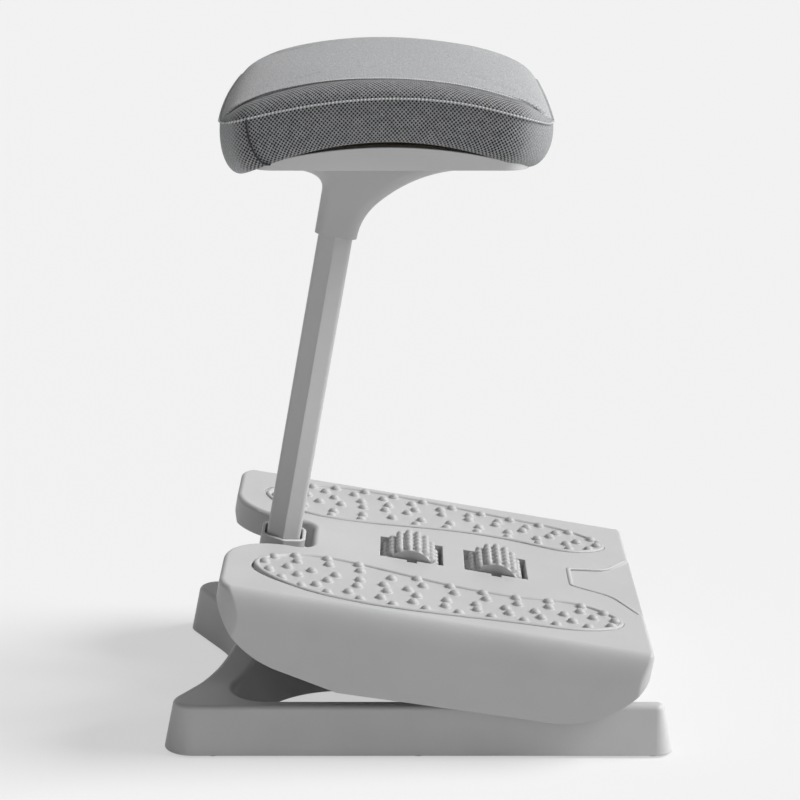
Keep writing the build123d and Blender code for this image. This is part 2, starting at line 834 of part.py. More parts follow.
nub_spots = []
for column in range(nub_columns):
    for row, stagger in enumerate(nub_stagger):
        x = pad_toe[0] + column * nub_column_pitch + stagger
        inner, outer = sole_edges(x)
        spot = Vector(x, outer - nub_margin - row * nub_row_pitch)
        if nub_field.face().is_inside(spot):
            nub_spots.append(spot)
pad_plane = plate_plane.offset(-pad_sink)
for side in (-1, 1):
    with BuildPart() as massage_pad:
        with BuildSketch(pad_plane):
            add(pad_face(-pad_groove / 2).sketch)
            if side < 0:
                mirror(about=Plane.XZ, mode=Mode.REPLACE)
        extrude(amount=-pad_thickness)
        with BuildSketch(pad_plane):
            with Locations([(spot.X, side * spot.Y) for spot in nub_spots]):
                RegularPolygon(nub_diameter / 2, nub_sides)
        extrude(amount=nub_height, taper=nub_taper)
    keep(massage_pad, f"{side_name(side)}_massage_pad")

# Massage rollers on fixed axles
for name, (roller_x, _) in zip(("rear", "front"), roller_spots):
    axis_point = plate_plane.from_local_coords(Vector(roller_x, 0, -roller_depth))
    axis_plane = Plane(axis_point, x_dir=plate_along, z_dir=(0, -1, 0))
    with BuildPart() as roller:
        with BuildSketch(axis_plane):
            RegularPolygon(roller_radius, roller_nub_rows, rotation=180 / roller_nub_rows)
            Circle(axle_diameter / 2 + roller_fit, mode=Mode.SUBTRACT)
        extrude(amount=roller_length / 2, both=True)
        for row in range(roller_nub_rows):
            turn = 2 * pi * row / roller_nub_rows
            out = axis_plane.x_dir * cos(turn) + axis_plane.y_dir * sin(turn)
            root_radius = roller_radius * cos(pi / roller_nub_rows) - roller_nub_root
            row_plane = Plane(axis_point + out * root_radius, x_dir=(0, 1, 0), z_dir=out)
            with BuildSketch(row_plane):
                with GridLocations(roller_length / roller_nub_columns, 1, roller_nub_columns, 1):
                    Rectangle(roller_nub_width, roller_nub_width)
            extrude(amount=roller_tip - root_radius, taper=roller_nub_taper)
    keep(roller, f"{name}_roller")
    with BuildPart() as axle:
        with BuildSketch(axis_plane):
            Circle(axle_diameter / 2)
        extrude(amount=slot_width / 2 + axle_seat_depth - axle_fit, both=True)
    keep(axle, f"{name}_roller_axle")

# Post tube with a plug in each end
post_bottom = tower_bottom + post_rest_gap + plug_thickness
post_tube = post_prism(0, post_bottom, post_top, bore=-post_wall)
keep(post_tube, "post_tube")

with BuildPart() as end_plug:
    with BuildSketch(post_plane.offset(post_bottom - plug_thickness)):
        add(post_section.sketch)
    extrude(amount=plug_thickness)
    with BuildSketch(post_plane.offset(post_bottom)):
        offset(post_section.sketch, amount=-post_wall - plug_fit)
    extrude(amount=plug_length)
keep(end_plug, "post_end_plug")

bolt_hole = bolt_diameter / 2 + screw_fit
with BuildPart() as top_plug:
    with BuildSketch(post_plane.offset(post_top)):
        offset(post_section.sketch, amount=-post_wall - plug_fit)
        Circle(bolt_hole, mode=Mode.SUBTRACT)
    extrude(amount=-plug_length)
keep(top_plug, "post_top_plug")

# Neck: a leaning column that flares into a shallow hull under the pan
neck_bore_top = post_top + neck_top_gap
bolt_head_seat = post_top - plug_length + bolt_length
neck_half = post_depth / 2 + neck_fit + neck_wall
neck_side = post_width / 2 + neck_fit + neck_wall
neck_rear_foot = post_plane.from_local_coords(Vector(-neck_side, 0, neck_bottom))
neck_front_foot = post_plane.from_local_coords(Vector(neck_side, 0, neck_bottom))
neck_rear_bend = post_plane.from_local_coords(Vector(-neck_side, 0, neck_bottom + neck_straight))
neck_mid = (neck_front_foot.X + neck_flare_reach / 4, neck_front_foot.Z + neck_flare_rise * 0.62)
hull_bottom = neck_front_foot.Z + neck_flare_rise
hull_front = neck_front_foot.X + neck_flare_reach
hull_rear = neck_rear_bend.X - neck_rear_reach
hull_x = (hull_front + hull_rear) / 2
hull_length = hull_front - hull_rear
neck_screw_spots = [
    (pan_centre_x + end * neck_screw_pitch / 2, side * neck_screw_y)
    for end in (-1, 1)
    for side in (-1, 1)
]
hull_run = (hull_half_width - neck_half) / (pan_bottom - hull_bottom)


def hull_section(level, inset, half):
    with BuildSketch(Plane.XY.offset(level)) as section:
        with Locations((hull_x, 0)):
            RectangleRounded(hull_length - 2 * inset, 2 * half, neck_corner_radius)
    return section.sketch


with BuildPart() as hull_hollow:
    hollow_floor = hull_section(hull_bottom + neck_wall, hull_draw + neck_wall, neck_half - neck_wall)
    hollow_rim = hull_section(pan_bottom, neck_wall, hull_half_width - neck_wall * hull_run)
    loft([hollow_floor, hollow_rim])
    with BuildSketch(Plane.XY.offset(hull_bottom)):
        with Locations(neck_screw_spots):
            Circle(screw_hole + screw_boss_wall)
    extrude(amount=pan_bottom, mode=Mode.SUBTRACT)
    with BuildSketch(post_plane.offset(neck_bore_top)):
        Circle(bolt_head_diameter / 2 + neck_wall)
    extrude(amount=bolt_head_seat - neck_bore_top, mode=Mode.SUBTRACT)

with BuildPart() as support_neck:
    with BuildSketch(Plane.XZ):
        with BuildLine():
            Polyline(
                (neck_rear_bend.X, neck_rear_bend.Z),
                (neck_rear_foot.X, neck_rear_foot.Z),
                (neck_front_foot.X, neck_front_foot.Z),
            )
            Spline(
                (neck_front_foot.X, neck_front_foot.Z),
                neck_mid,
                (hull_front, hull_bottom),
                tangents=((sin(lean), cos(lean)), (1, 0)),
            )
            Polyline(
                (hull_front, hull_bottom),
                (hull_front, hull_bottom + neck_wall),
                (hull_rear, hull_bottom + neck_wall),
                (hull_rear, hull_bottom),
            )
            Spline(
                (hull_rear, hull_bottom),
                (neck_rear_bend.X, neck_rear_bend.Z),
                tangents=((1, 0), (-sin(lean), -cos(lean))),
            )
        make_face()
    extrude(amount=neck_half, both=True)
    corners = support_neck.edges().filter_by(lambda edge: abs(abs(edge.center().Y) - neck_half) < 0.01)
    corners = corners.filter_by(lambda edge: edge.length > 2 * neck_side + 0.01)
    corners = corners.filter_by(lambda edge: edge.center().Z < hull_bottom)
    fillet(corners, neck_corner_radius)
    loft([hull_section(hull_bottom, hull_draw, neck_half), hull_section(pan_bottom, 0, hull_half_width)])
    add(post_prism(neck_fit, neck_bottom - neck_wall, neck_bore_top).part, mode=Mode.SUBTRACT)
    with BuildSketch(post_plane.offset(neck_bore_top)):
        Circle(bolt_hole)
    extrude(amount=bolt_length, mode=Mode.SUBTRACT)
    with BuildSketch(post_plane.offset(bolt_head_seat)):
        Circle(bolt_head_diameter / 2 + screw_fit)
    extrude(amount=bolt_length, mode=Mode.SUBTRACT)
    add(hull_hollow.part, mode=Mode.SUBTRACT)
    with BuildSketch(Plane.XY.offset(pan_bottom)):
        with Locations(neck_screw_spots):
            Circle(screw_hole)
    extrude(amount=-screw_length, mode=Mode.SUBTRACT)
keep(support_neck, "support_neck")

with BuildPart() as post_bolt:
    with BuildSketch(post_plane.offset(bolt_head_seat)):
        Circle(bolt_diameter / 2)
    extrude(amount=-bolt_length)
    with BuildSketch(post_plane.offset(bolt_head_seat)):
        Circle(bolt_head_diameter / 2)
    extrude(amount=bolt_head_height)
keep(post_bolt, "post_bolt")

# Pan under the cushion: flat below, arched above, hollow, screwed down to the neck
pan_half = pan_length / 2
pan_crown_top = pan_bottom + pan_crown
arch_radius = (pan_half**2 + (pan_crown - pan_lip) ** 2) / (2 * (pan_crown - pan_lip))
pan_plane = Plane((pan_centre_x, 0, 0), x_dir=(1, 0, 0), z_dir=(0, -1, 0))


def arch_edge(half, rise):
    drop = arch_radius - (arch_radius**2 - half**2) ** 0.5
    return pan_crown_top + rise - drop


with BuildSketch() as pan_plan:
    with Locations((pan_centre_x, 0)):
        RectangleRounded(pan_length, pan_width, pan_corner_radius)

arch_half = pan_half + pan_wall
arch_end = arch_edge(arch_half, 0)
with BuildPart() as cushion_pan:
    with BuildSketch(pan_plane):
        with BuildLine():
            Polyline(
                (-arch_half, arch_end),
                (-arch_half, pan_bottom - pan_wall),
                (arch_half, pan_bottom - pan_wall),
                (arch_half, arch_end),
            )
            ThreePointArc((arch_half, arch_end), (0, pan_crown_top), (-arch_half, arch_end))
        make_face()
    extrude(amount=pan_width / 2 + pan_wall, both=True)
    with BuildSketch(Plane.XY.offset(pan_bottom)):
        add(pan_plan.sketch)
    extrude(amount=2 * pan_crown, mode=Mode.INTERSECT)
    with BuildSketch(Plane.XY.offset(pan_bottom + pan_wall)):
        offset(pan_plan.sketch, amount=-pan_wall)
    extrude(amount=pan_crown, mode=Mode.SUBTRACT)
    with BuildSketch(Plane.XY.offset(pan_bottom)):
        with Locations(neck_screw_spots):
            Circle(screw_hole)
    extrude(amount=pan_wall, mode=Mode.SUBTRACT)
keep(cushion_pan, "cushion_pan")

pan_floor_plane = Plane((0, 0, pan_bottom + pan_wall), x_dir=(1, 0, 0), z_dir=(0, 0, -1))
keep(screw_set(pan_floor_plane, neck_screw_spots), "neck_screws")

# Board that closes the pan and carries the cushion
board_half = board_length / 2
board_crown = pan_crown_top + board_proud
board_edge = arch_edge(board_half, board_proud)
with BuildPart() as cushion_board:
    with BuildSketch(pan_plane):
        with BuildLine():
            ThreePointArc((board_half, board_edge), (0, board_crown), (-board_half, board_edge))
            Line((-board_half, board_edge), (-board_half, board_edge - board_thickness))
            ThreePointArc(
                (-board_half, board_edge - board_thickness),
                (0, board_crown - board_thickness),
                (board_half, board_edge - board_thickness),
            )
            Line((board_half, board_edge - board_thickness), (board_half, board_edge))
        make_face()
    extrude(amount=pan_width / 2 - pan_wall - board_gap, both=True)
keep(cushion_board, "cushion_board")

# Cushion: arched over the pan and wrapped down round its ends, drawn in at both sides
cushion_half = cushion_length / 2
lip_inner = pan_half + cushion_end_gap
lip_outer = cushion_half - cushion_tuck
seat_rise = board_proud + cushion_gap
seat_edge = arch_edge(lip_inner, seat_rise)
seat_crown = pan_crown_top + seat_rise
shoulder_x = cushion_half - cushion_shoulder
shoulder_z = seat_crown + cushion_thickness - cushion_roll
belly_z = pan_bottom + cushion_belly
cushion_stations = (
    (-cushion_width / 2, cushion_draw, 0),
    (-cushion_width / 2 + cushion_draw, 0, 0),
    (0, 0, cushion_crown),
    (cushion_width / 2 - cushion_draw, 0, 0),
    (cushion_width / 2, cushion_draw, 0),
)
with BuildPart() as cushion:
    for station, inset, crown in cushion_stations:
        top_z = seat_crown + cushion_thickness + crown - inset
        with BuildSketch(across(pan_plane, station)):
            with BuildLine():
                lip_end = lip_outer - inset / 2
                Polyline((-lip_inner, seat_edge), (-lip_inner, pan_bottom), (-lip_end, pan_bottom))
                ThreePointArc(
                    (-lip_outer + inset / 2, pan_bottom),
                    (-cushion_half + inset, belly_z),
                    (-shoulder_x + inset, shoulder_z - inset),
                )
                ThreePointArc(
                    (-shoulder_x + inset, shoulder_z - inset),
                    (0, top_z),
                    (shoulder_x - inset, shoulder_z - inset),
                )
                ThreePointArc(
                    (shoulder_x - inset, shoulder_z - inset),
                    (cushion_half - inset, belly_z),
                    (lip_outer - inset / 2, pan_bottom),
                )
                Polyline((lip_end, pan_bottom), (lip_inner, pan_bottom), (lip_inner, seat_edge))
                ThreePointArc((lip_inner, seat_edge), (0, seat_crown), (-lip_inner, seat_edge))
            make_face()
    loft(ruled=True)
keep(cushion, "cushion")
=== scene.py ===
import json
import math

import bpy
import numpy as np
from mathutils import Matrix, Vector


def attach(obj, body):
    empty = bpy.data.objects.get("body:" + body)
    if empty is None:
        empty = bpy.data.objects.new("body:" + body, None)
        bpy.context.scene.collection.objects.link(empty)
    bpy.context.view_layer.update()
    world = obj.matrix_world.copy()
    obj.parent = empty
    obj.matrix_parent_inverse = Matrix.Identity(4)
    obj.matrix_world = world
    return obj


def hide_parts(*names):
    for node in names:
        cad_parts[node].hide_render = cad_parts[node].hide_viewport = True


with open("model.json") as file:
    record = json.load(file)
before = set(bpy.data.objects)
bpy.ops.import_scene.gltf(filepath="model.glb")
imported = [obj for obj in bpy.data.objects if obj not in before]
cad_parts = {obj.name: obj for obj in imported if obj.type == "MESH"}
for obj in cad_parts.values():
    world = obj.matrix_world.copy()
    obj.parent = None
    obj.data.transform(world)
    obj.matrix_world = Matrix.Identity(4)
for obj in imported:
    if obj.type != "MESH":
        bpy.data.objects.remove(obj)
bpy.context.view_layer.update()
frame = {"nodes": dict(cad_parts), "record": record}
nodes = frame["nodes"]
print("frame loaded:", len(nodes), "nodes")


# Shader helpers
noiseBand = (0.3, 0.7)  # where most of a noise's values lie


def freshMaterial(name):
    mat = bpy.data.materials.new(name)
    mat.use_nodes = True
    return mat, mat.node_tree, mat.node_tree.nodes["Principled BSDF"]


def addNode(tree, kind, **settings):
    node = tree.nodes.new(kind)
    for key, value in settings.items():
        setattr(node, key, value)
    return node


def mathNode(tree, operation, *values):
    node = addNode(tree, "ShaderNodeMath", operation=operation)
    for socket, value in zip(node.inputs, values):
        if isinstance(value, (int, float)):
            socket.default_value = value
        else:
            tree.links.new(value, socket)
    return node.outputs[0]


def ramp(tree, value, low, high, outLow=0.0, outHigh=1.0):
    node = addNode(tree, "ShaderNodeMapRange", clamp=True, interpolation_type="SMOOTHSTEP")
    tree.links.new(value, node.inputs["Value"])
    for key, number in (("From Min", low), ("From Max", high), ("To Min", outLow), ("To Max", outHigh)):
        node.inputs[key].default_value = number
    return node.outputs["Result"]


def mixColor(tree, share, first, second):
    node = addNode(tree, "ShaderNodeMix", data_type="RGBA")
    tree.links.new(share, node.inputs["Factor"])
    for key, value in (("A", first), ("B", second)):
        socket = [s for s in node.inputs if s.name == key and s.type == "RGBA"][0]
        if isinstance(value, (tuple, list)):
            socket.default_value = (*value, 1.0)
        else:
            tree.links.new(value, socket)
    return [s for s in node.outputs if s.type == "RGBA"][0]


def objectNoise(tree, scale, detail=2.0, rough=0.5, stretch=None):
    coords = addNode(tree, "ShaderNodeTexCoord").outputs["Object"]
    if stretch:
        mapping = addNode(tree, "ShaderNodeMapping")
        mapping.inputs["Scale"].default_value = stretch
        tree.links.new(coords, mapping.inputs["Vector"])
        coords = mapping.outputs["Vector"]
    noise = addNode(tree, "ShaderNodeTexNoise")
    noise.inputs["Scale"].default_value = scale
    noise.inputs["Detail"].default_value = detail
    noise.inputs["Roughness"].default_value = rough
    tree.links.new(coords, noise.inputs["Vector"])
    return noise.outputs["Fac"]


def roundedNormal(tree, radius):
    bevel = addNode(tree, "ShaderNodeBevel", samples=6)
    bevel.inputs["Radius"].default_value = radius
    return bevel.outputs["Normal"]


def edgeMask(tree, rounded):
    # how far the rounded normal leans from the face's own: 0 on flats, 1 along sharp edges
    flat, sharp = 0.995, 0.86
    geometry = addNode(tree, "ShaderNodeNewGeometry")
    dot = addNode(tree, "ShaderNodeVectorMath", operation="DOT_PRODUCT")
    tree.links.new(rounded, dot.inputs[0])
    tree.links.new(geometry.outputs["Normal"], dot.inputs[1])
    return ramp(tree, dot.outputs["Value"], flat, sharp)


def linkBump(tree, shader, height, strength, distance, normal=None):
    bump = addNode(tree, "ShaderNodeBump")
    bump.inputs["Strength"].default_value = strength
    bump.inputs["Distance"].default_value = distance
    tree.links.new(height, bump.inputs["Height"])
    if normal is not None:
        tree.links.new(normal, bump.inputs["Normal"])
    tree.links.new(bump.outputs["Normal"], shader.inputs["Normal"])


def mouldedPlastic(name, look):
    # satin moulded plastic: fine spark grain, cloudy tone, paler edges that are partly rubbed wear and partly
    # a painted highlight
    mat, tree, shader = freshMaterial(name)
    tone = look["tone"]
    cloud = ramp(tree, objectNoise(tree, look["cloudScale"], 3.0), *noiseBand)
    darker = [c * (1 - look["cloudShift"]) for c in tone]
    paler = [c * (1 + look["cloudShift"]) for c in tone]
    base = mixColor(tree, cloud, darker, paler)
    rounded = roundedNormal(tree, look["edgeRadius"])
    # edges painted paler in patches: part rubbed wear, part painted highlight for the light that rounded
    # edges catch
    patchy = ramp(tree, objectNoise(tree, look["highlightAndWearScale"], 4.0), 0.3, 0.62, 0.4, 1.0)
    paintedHighlightAndWear = mathNode(tree, "MULTIPLY", edgeMask(tree, rounded), patchy)
    paintedHighlightAndWear = mathNode(tree, "MULTIPLY", paintedHighlightAndWear, look["edgeHighlightAndWear"])
    highlightedAndWorn = mixColor(tree, paintedHighlightAndWear, base, [min(c * look["highlightAndWearPale"], 0.9) for c in tone])
    tree.links.new(highlightedAndWorn, shader.inputs["Base Color"])
    grain = objectNoise(tree, look["grainScale"], 2.0)
    low, high = look["rough"] - look["roughShift"], look["rough"] + look["roughShift"]
    tree.links.new(ramp(tree, grain, *noiseBand, low, high), shader.inputs["Roughness"])
    shader.inputs["Specular IOR Level"].default_value = look["gloss"]
    linkBump(tree, shader, grain, look["grain"], look["grainDepth"], rounded)
    return mat


def platedSteel(name, look):
    # zinc plate or ground steel: fine drawn-out lines, dulled patches
    mat, tree, shader = freshMaterial(name)
    lines = objectNoise(tree, look["lineScale"], 3.0, 0.6, stretch=look["lineStretch"])
    patch = ramp(tree, objectNoise(tree, look["patchScale"], 4.0), 0.35, 0.7)
    color = mixColor(tree, patch, look["tone"], [c * look["dulled"] for c in look["tone"]])
    tree.links.new(color, shader.inputs["Base Color"])
    shader.inputs["Metallic"].default_value = 1.0
    tree.links.new(ramp(tree, lines, *noiseBand, *look["rough"]), shader.inputs["Roughness"])
    rounded = roundedNormal(tree, look["edgeRadius"])
    linkBump(tree, shader, lines, look["relief"], look["reliefDepth"], rounded)
    return mat


def mouldedRubber(name, look):
    # dull rubber with pale dust in patches
    mat, tree, shader = freshMaterial(name)
    dust = ramp(tree, objectNoise(tree, look["dustScale"], 5.0), 0.45, 0.75)
    tree.links.new(mixColor(tree, dust, look["tone"], look["dust"]), shader.inputs["Base Color"])
    grain = objectNoise(tree, look["grainScale"], 3.0)
    tree.links.new(ramp(tree, grain, *noiseBand, *look["rough"]), shader.inputs["Roughness"])
    linkBump(tree, shader, grain, look["grain"], look["grainDepth"])
    return mat


def plywood(name, look):
    # face veneer with its figure along Y
    mat, tree, shader = freshMaterial(name)
    figure = objectNoise(tree, look["figureScale"], 4.0, 0.6, stretch=look["figureStretch"])
    face = mixColor(tree, ramp(tree, figure, 0.35, 0.65), look["tone"], look["late"])
    # upright faces are painted near black: painted shade for the dark gap under the cushion, where the
    # board's edge shows
    upright = addNode(tree, "ShaderNodeSeparateXYZ")
    tree.links.new(addNode(tree, "ShaderNodeNewGeometry").outputs["Normal"], upright.inputs[0])
    level = mathNode(tree, "ABSOLUTE", upright.outputs["Z"])
    board = mixColor(tree, ramp(tree, level, 0.3, 0.7), look["edgeShade"], face)
    tree.links.new(board, shader.inputs["Base Color"])
    tree.links.new(ramp(tree, figure, *noiseBand, *look["rough"]), shader.inputs["Roughness"])
    linkBump(tree, shader, figure, look["relief"], look["reliefDepth"])
    return mat


def dress(nodeNames, mat):
    for nodeName in nodeNames:
        mesh = nodes[nodeName].data
        mesh.materials.clear()
        mesh.materials.append(mat)


slotNodes = {}
for subpart in frame["record"]["subparts"]:
    slotNodes.setdefault(subpart["material_slot"], []).append(subpart["node"])

# Plastics and the post's coat: one light grey look, with each moulding's own changes to it
plasticLook = {
    "tone": (0.545, 0.545, 0.548), "cloudScale": 14.0, "cloudShift": 0.025,
    "edgeRadius": 0.0009, "edgeHighlightAndWear": 0.5, "highlightAndWearScale": 160.0, "highlightAndWearPale": 1.3,
    "grainScale": 2600.0, "grain": 0.10, "grainDepth": 0.0002,
    "rough": 0.46, "roughShift": 0.05, "gloss": 0.38,
}
plasticSlots = {
    # the frame is the plate's plastic, toned paler as painted light to lift the shade the plate casts on the
    # rails
    "frame_plastic": {"tone": (0.62, 0.62, 0.623), "edgeRadius": 0.0012},
    "plate_plastic": {"edgeRadius": 0.0012},
    "sleeve_plastic": {"edgeHighlightAndWear": 0.8, "edgeRadius": 0.0006},
    "bracket_plastic": {"tone": (0.30, 0.30, 0.302), "rough": 0.55},
    "pad_plastic": {"tone": (0.53, 0.53, 0.533), "edgeRadius": 0.0004, "rough": 0.5},
    "roller_plastic": {"tone": (0.52, 0.52, 0.523), "edgeRadius": 0.0004, "rough": 0.42},
    "post_coat": {"tone": (0.55, 0.55, 0.553), "grainScale": 1400.0, "grain": 0.06, "rough": 0.4,
                  "gloss": 0.45},
    "neck_plastic": {"tone": (0.52, 0.52, 0.523), "edgeRadius": 0.001},
}
panLook = {"tone": (0.70, 0.70, 0.703), "edgeRadius": 0.001}
plastics = {}
for slot, change in plasticSlots.items():
    plastics[slot] = mouldedPlastic(slot, {**plasticLook, **change})
    dress(slotNodes[slot], plastics[slot])
dress(["cushion_pan"], mouldedPlastic("pan_plastic", {**plasticLook, **panLook}))

# Screws are drawn out along Z, shafts along Y
steelLook = {"lineScale": 900.0, "patchScale": 60.0, "dulled": 0.8, "edgeRadius": 0.0003,
             "relief": 0.1, "reliefDepth": 0.0001}
steelSlots = {
    "screw_steel": {"tone": (0.60, 0.60, 0.62), "rough": (0.28, 0.46), "lineStretch": (1.0, 1.0, 0.2)},
    "shaft_steel": {"tone": (0.55, 0.55, 0.57), "rough": (0.20, 0.38), "lineStretch": (1.0, 0.1, 1.0)},
}
for slot, change in steelSlots.items():
    dress(slotNodes[slot], platedSteel(slot, {**steelLook, **change}))

rubberLook = {"tone": (0.03, 0.03, 0.03), "dust": (0.07, 0.068, 0.065), "dustScale": 220.0,
              "grainScale": 1500.0, "grain": 0.2, "grainDepth": 0.0002, "rough": (0.7, 0.9)}
dress(slotNodes["feet_rubber"], mouldedRubber("feet_rubber", rubberLook))

# the board's upright edges are painted near black as painted shade
boardLook = {"tone": (0.62, 0.47, 0.30), "late": (0.50, 0.36, 0.21), "edgeShade": (0.03, 0.03, 0.031),
             "figureScale": 40.0, "figureStretch": (6.0, 0.6, 6.0), "rough": (0.55, 0.7),
             "relief": 0.15, "reliefDepth": 0.0003}
dress(slotNodes["board_wood"], plywood("board_wood", boardLook))
print("finishes made")


# Mesh helpers
def gridQuads(index, closed=False):
    # quads between neighbouring rows and columns of an index array
    if closed:
        index = np.hstack([index, index[:, :1]])
    corners = [index[:-1, :-1], index[:-1, 1:], index[1:, 1:], index[1:, :-1]]
    return np.stack(corners, axis=-1).reshape(-1, 4)


def makePiece(name, points, quads, body, mats, polygons=()):
    mesh = bpy.data.meshes.new(name)
    mesh.from_pydata(points.tolist(), [], quads.tolist() + [list(p) for p in polygons])
    mesh.validate()
    mesh.polygons.foreach_set("use_smooth", np.ones(len(mesh.polygons), dtype=bool))
    for mat in mats:
        mesh.materials.append(mat)
    piece = bpy.data.objects.new(name, mesh)
    bpy.context.scene.collection.objects.link(piece)
    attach(piece, body)
    return piece


def setUv(mesh, pointUv, wrapU=None):
    # per-corner copy of the points' own UV; wrapU mends faces that close a loop
    corners = np.empty(len(mesh.loops), dtype=np.int64)
    mesh.loops.foreach_get("vertex_index", corners)
    uv = pointUv[corners]
    if wrapU:
        starts = np.empty(len(mesh.polygons), dtype=np.int64)
        totals = np.empty(len(mesh.polygons), dtype=np.int64)
        mesh.polygons.foreach_get("loop_start", starts)
        mesh.polygons.foreach_get("loop_total", totals)
        highest = np.repeat(np.maximum.reduceat(uv[:, 0], starts), totals)
        uv[:, 0] += np.where(highest - uv[:, 0] > wrapU / 2, wrapU, 0.0)
    layer = mesh.uv_layers.new(name="weave")
    layer.data.foreach_set("uv", uv.astype(np.float32).ravel())


def tubeAlong(path, radius, sides, closed, upward=(0.0, 0.0, 1.0)):
    # circle of the given radius carried along the path, square to it
    path = np.asarray(path)
    if closed:
        tangent = np.roll(path, -1, axis=0) - np.roll(path, 1, axis=0)
    else:
        tangent = np.gradient(path, axis=0)
    tangent /= np.linalg.norm(tangent, axis=1, keepdims=True)
    side = np.cross(tangent, np.array(upward))
    side /= np.linalg.norm(side, axis=1, keepdims=True)
    lift = np.cross(side, tangent)
    turn = np.arange(sides) * 2 * np.pi / sides
    rings = (path[:, None] + radius * (np.cos(turn)[None, :, None] * side[:, None]
                                       + np.sin(turn)[None, :, None] * lift[:, None]))
    index = np.arange(len(path) * sides).reshape(len(path), sides)
    if closed:
        index = np.vstack([index, index[:1]])
    ends = () if closed else (index[0][::-1], index[-1])
    return rings.reshape(-1, 3), gridQuads(index, closed=True), ends


# Cushion: a top panel and an underside over one loop, with a rolled shoulder and boxing between them.
# Plan loops are rounded rectangles, and z follows x by smooth curves, all in mm.
cushionLook = {
    "across": 64, "along": 80, "crown": 3.0, "endCrown": 5.5, "bow": (4.0, 2.0),
    "archTop": 480.2, "archBend": 0.00211, "archMid": -21.0,
    "crease": {"low": -138.0, "high": 94.0, "half": 128.0, "radii": (22.0, 40.0)},
    "seam": {"low": -145.0, "high": 98.5, "half": 150.0, "radii": (22.0, 40.0)},
    "foot": {"low": -131.0, "high": 81.0, "half": 148.5, "radii": (18.0, 28.0)},
    # x and z along the near side
    "creaseLine": ((-142, 498), (-115, 511), (-71, 520.4), (-14, 523.5), (32, 518.2), (70, 508),
                   (95, 497.4)),
    "seamLine": ((-145, 492), (-125, 497.7), (-88, 505.3), (-37, 511.7), (16, 510), (60, 502.8),
                 (98, 489)),
    "creaseDegree": 4, "seamDegree": 3, "bowReach": 120.0,
    "lip": (1.2, 1.6), "sideShare": (0.1, 0.97), "endDecay": 10,
    "bandRows": 7, "boxingRows": 11, "bulge": 1.6,
}


def planLoop(shape, across, along):
    # rounded rectangle from the near left corner's middle, each side in equal steps
    arcSteps = 24
    low, high, half = shape["low"], shape["high"], shape["half"]
    left, right = shape["radii"]
    corners = ((low + left, -half + left, left, 225), (high - right, -half + right, right, 315),
               (high - right, half - right, right, 405), (low + left, half - left, left, 495))
    sides = []
    for number, count in enumerate((across, along, across, along)):
        x0, y0, r0, a0 = corners[number]
        x1, y1, r1, _ = corners[(number + 1) % 4]
        first = np.radians(np.linspace(a0, a0 + 45, arcSteps))
        second = np.radians(np.linspace(a0 + 45, a0 + 90, arcSteps))
        line = np.vstack([np.column_stack([x0 + r0 * np.cos(first), y0 + r0 * np.sin(first)]),
                          np.column_stack([x1 + r1 * np.cos(second), y1 + r1 * np.sin(second)])])
        length = np.concatenate([[0.0], np.cumsum(np.linalg.norm(np.diff(line, axis=0), axis=1))])
        steps = np.linspace(0.0, length[-1], count + 1)[:-1]
        sides.append(np.column_stack([np.interp(steps, length, line[:, axis]) for axis in (0, 1)]))
    return np.vstack(sides)


def fillLoop(loop, across, along):
    # transfinite grid inside a loop: edges blended across and along, less the corners
    near, right = loop[:across + 1], loop[across:across + along + 1]
    far = loop[across + along:2 * across + along + 1][::-1]
    left = np.vstack([loop[2 * across + along:], loop[:1]])[::-1]
    u = np.linspace(0.0, 1.0, across + 1)[:, None, None]
    v = np.linspace(0.0, 1.0, along + 1)[None, :, None]
    edges = (1 - v) * near[:, None] + v * far[:, None] + (1 - u) * left[None] + u * right[None]
    return (edges - (1 - u) * (1 - v) * near[0] - u * (1 - v) * near[-1]
            - (1 - u) * v * far[0] - u * v * far[-1])


def loopIndex(index):
    # border of an index grid in the loop's order
    return np.concatenate([index[:-1, 0], index[-1, :-1], index[:0:-1, -1], index[0, :0:-1]])


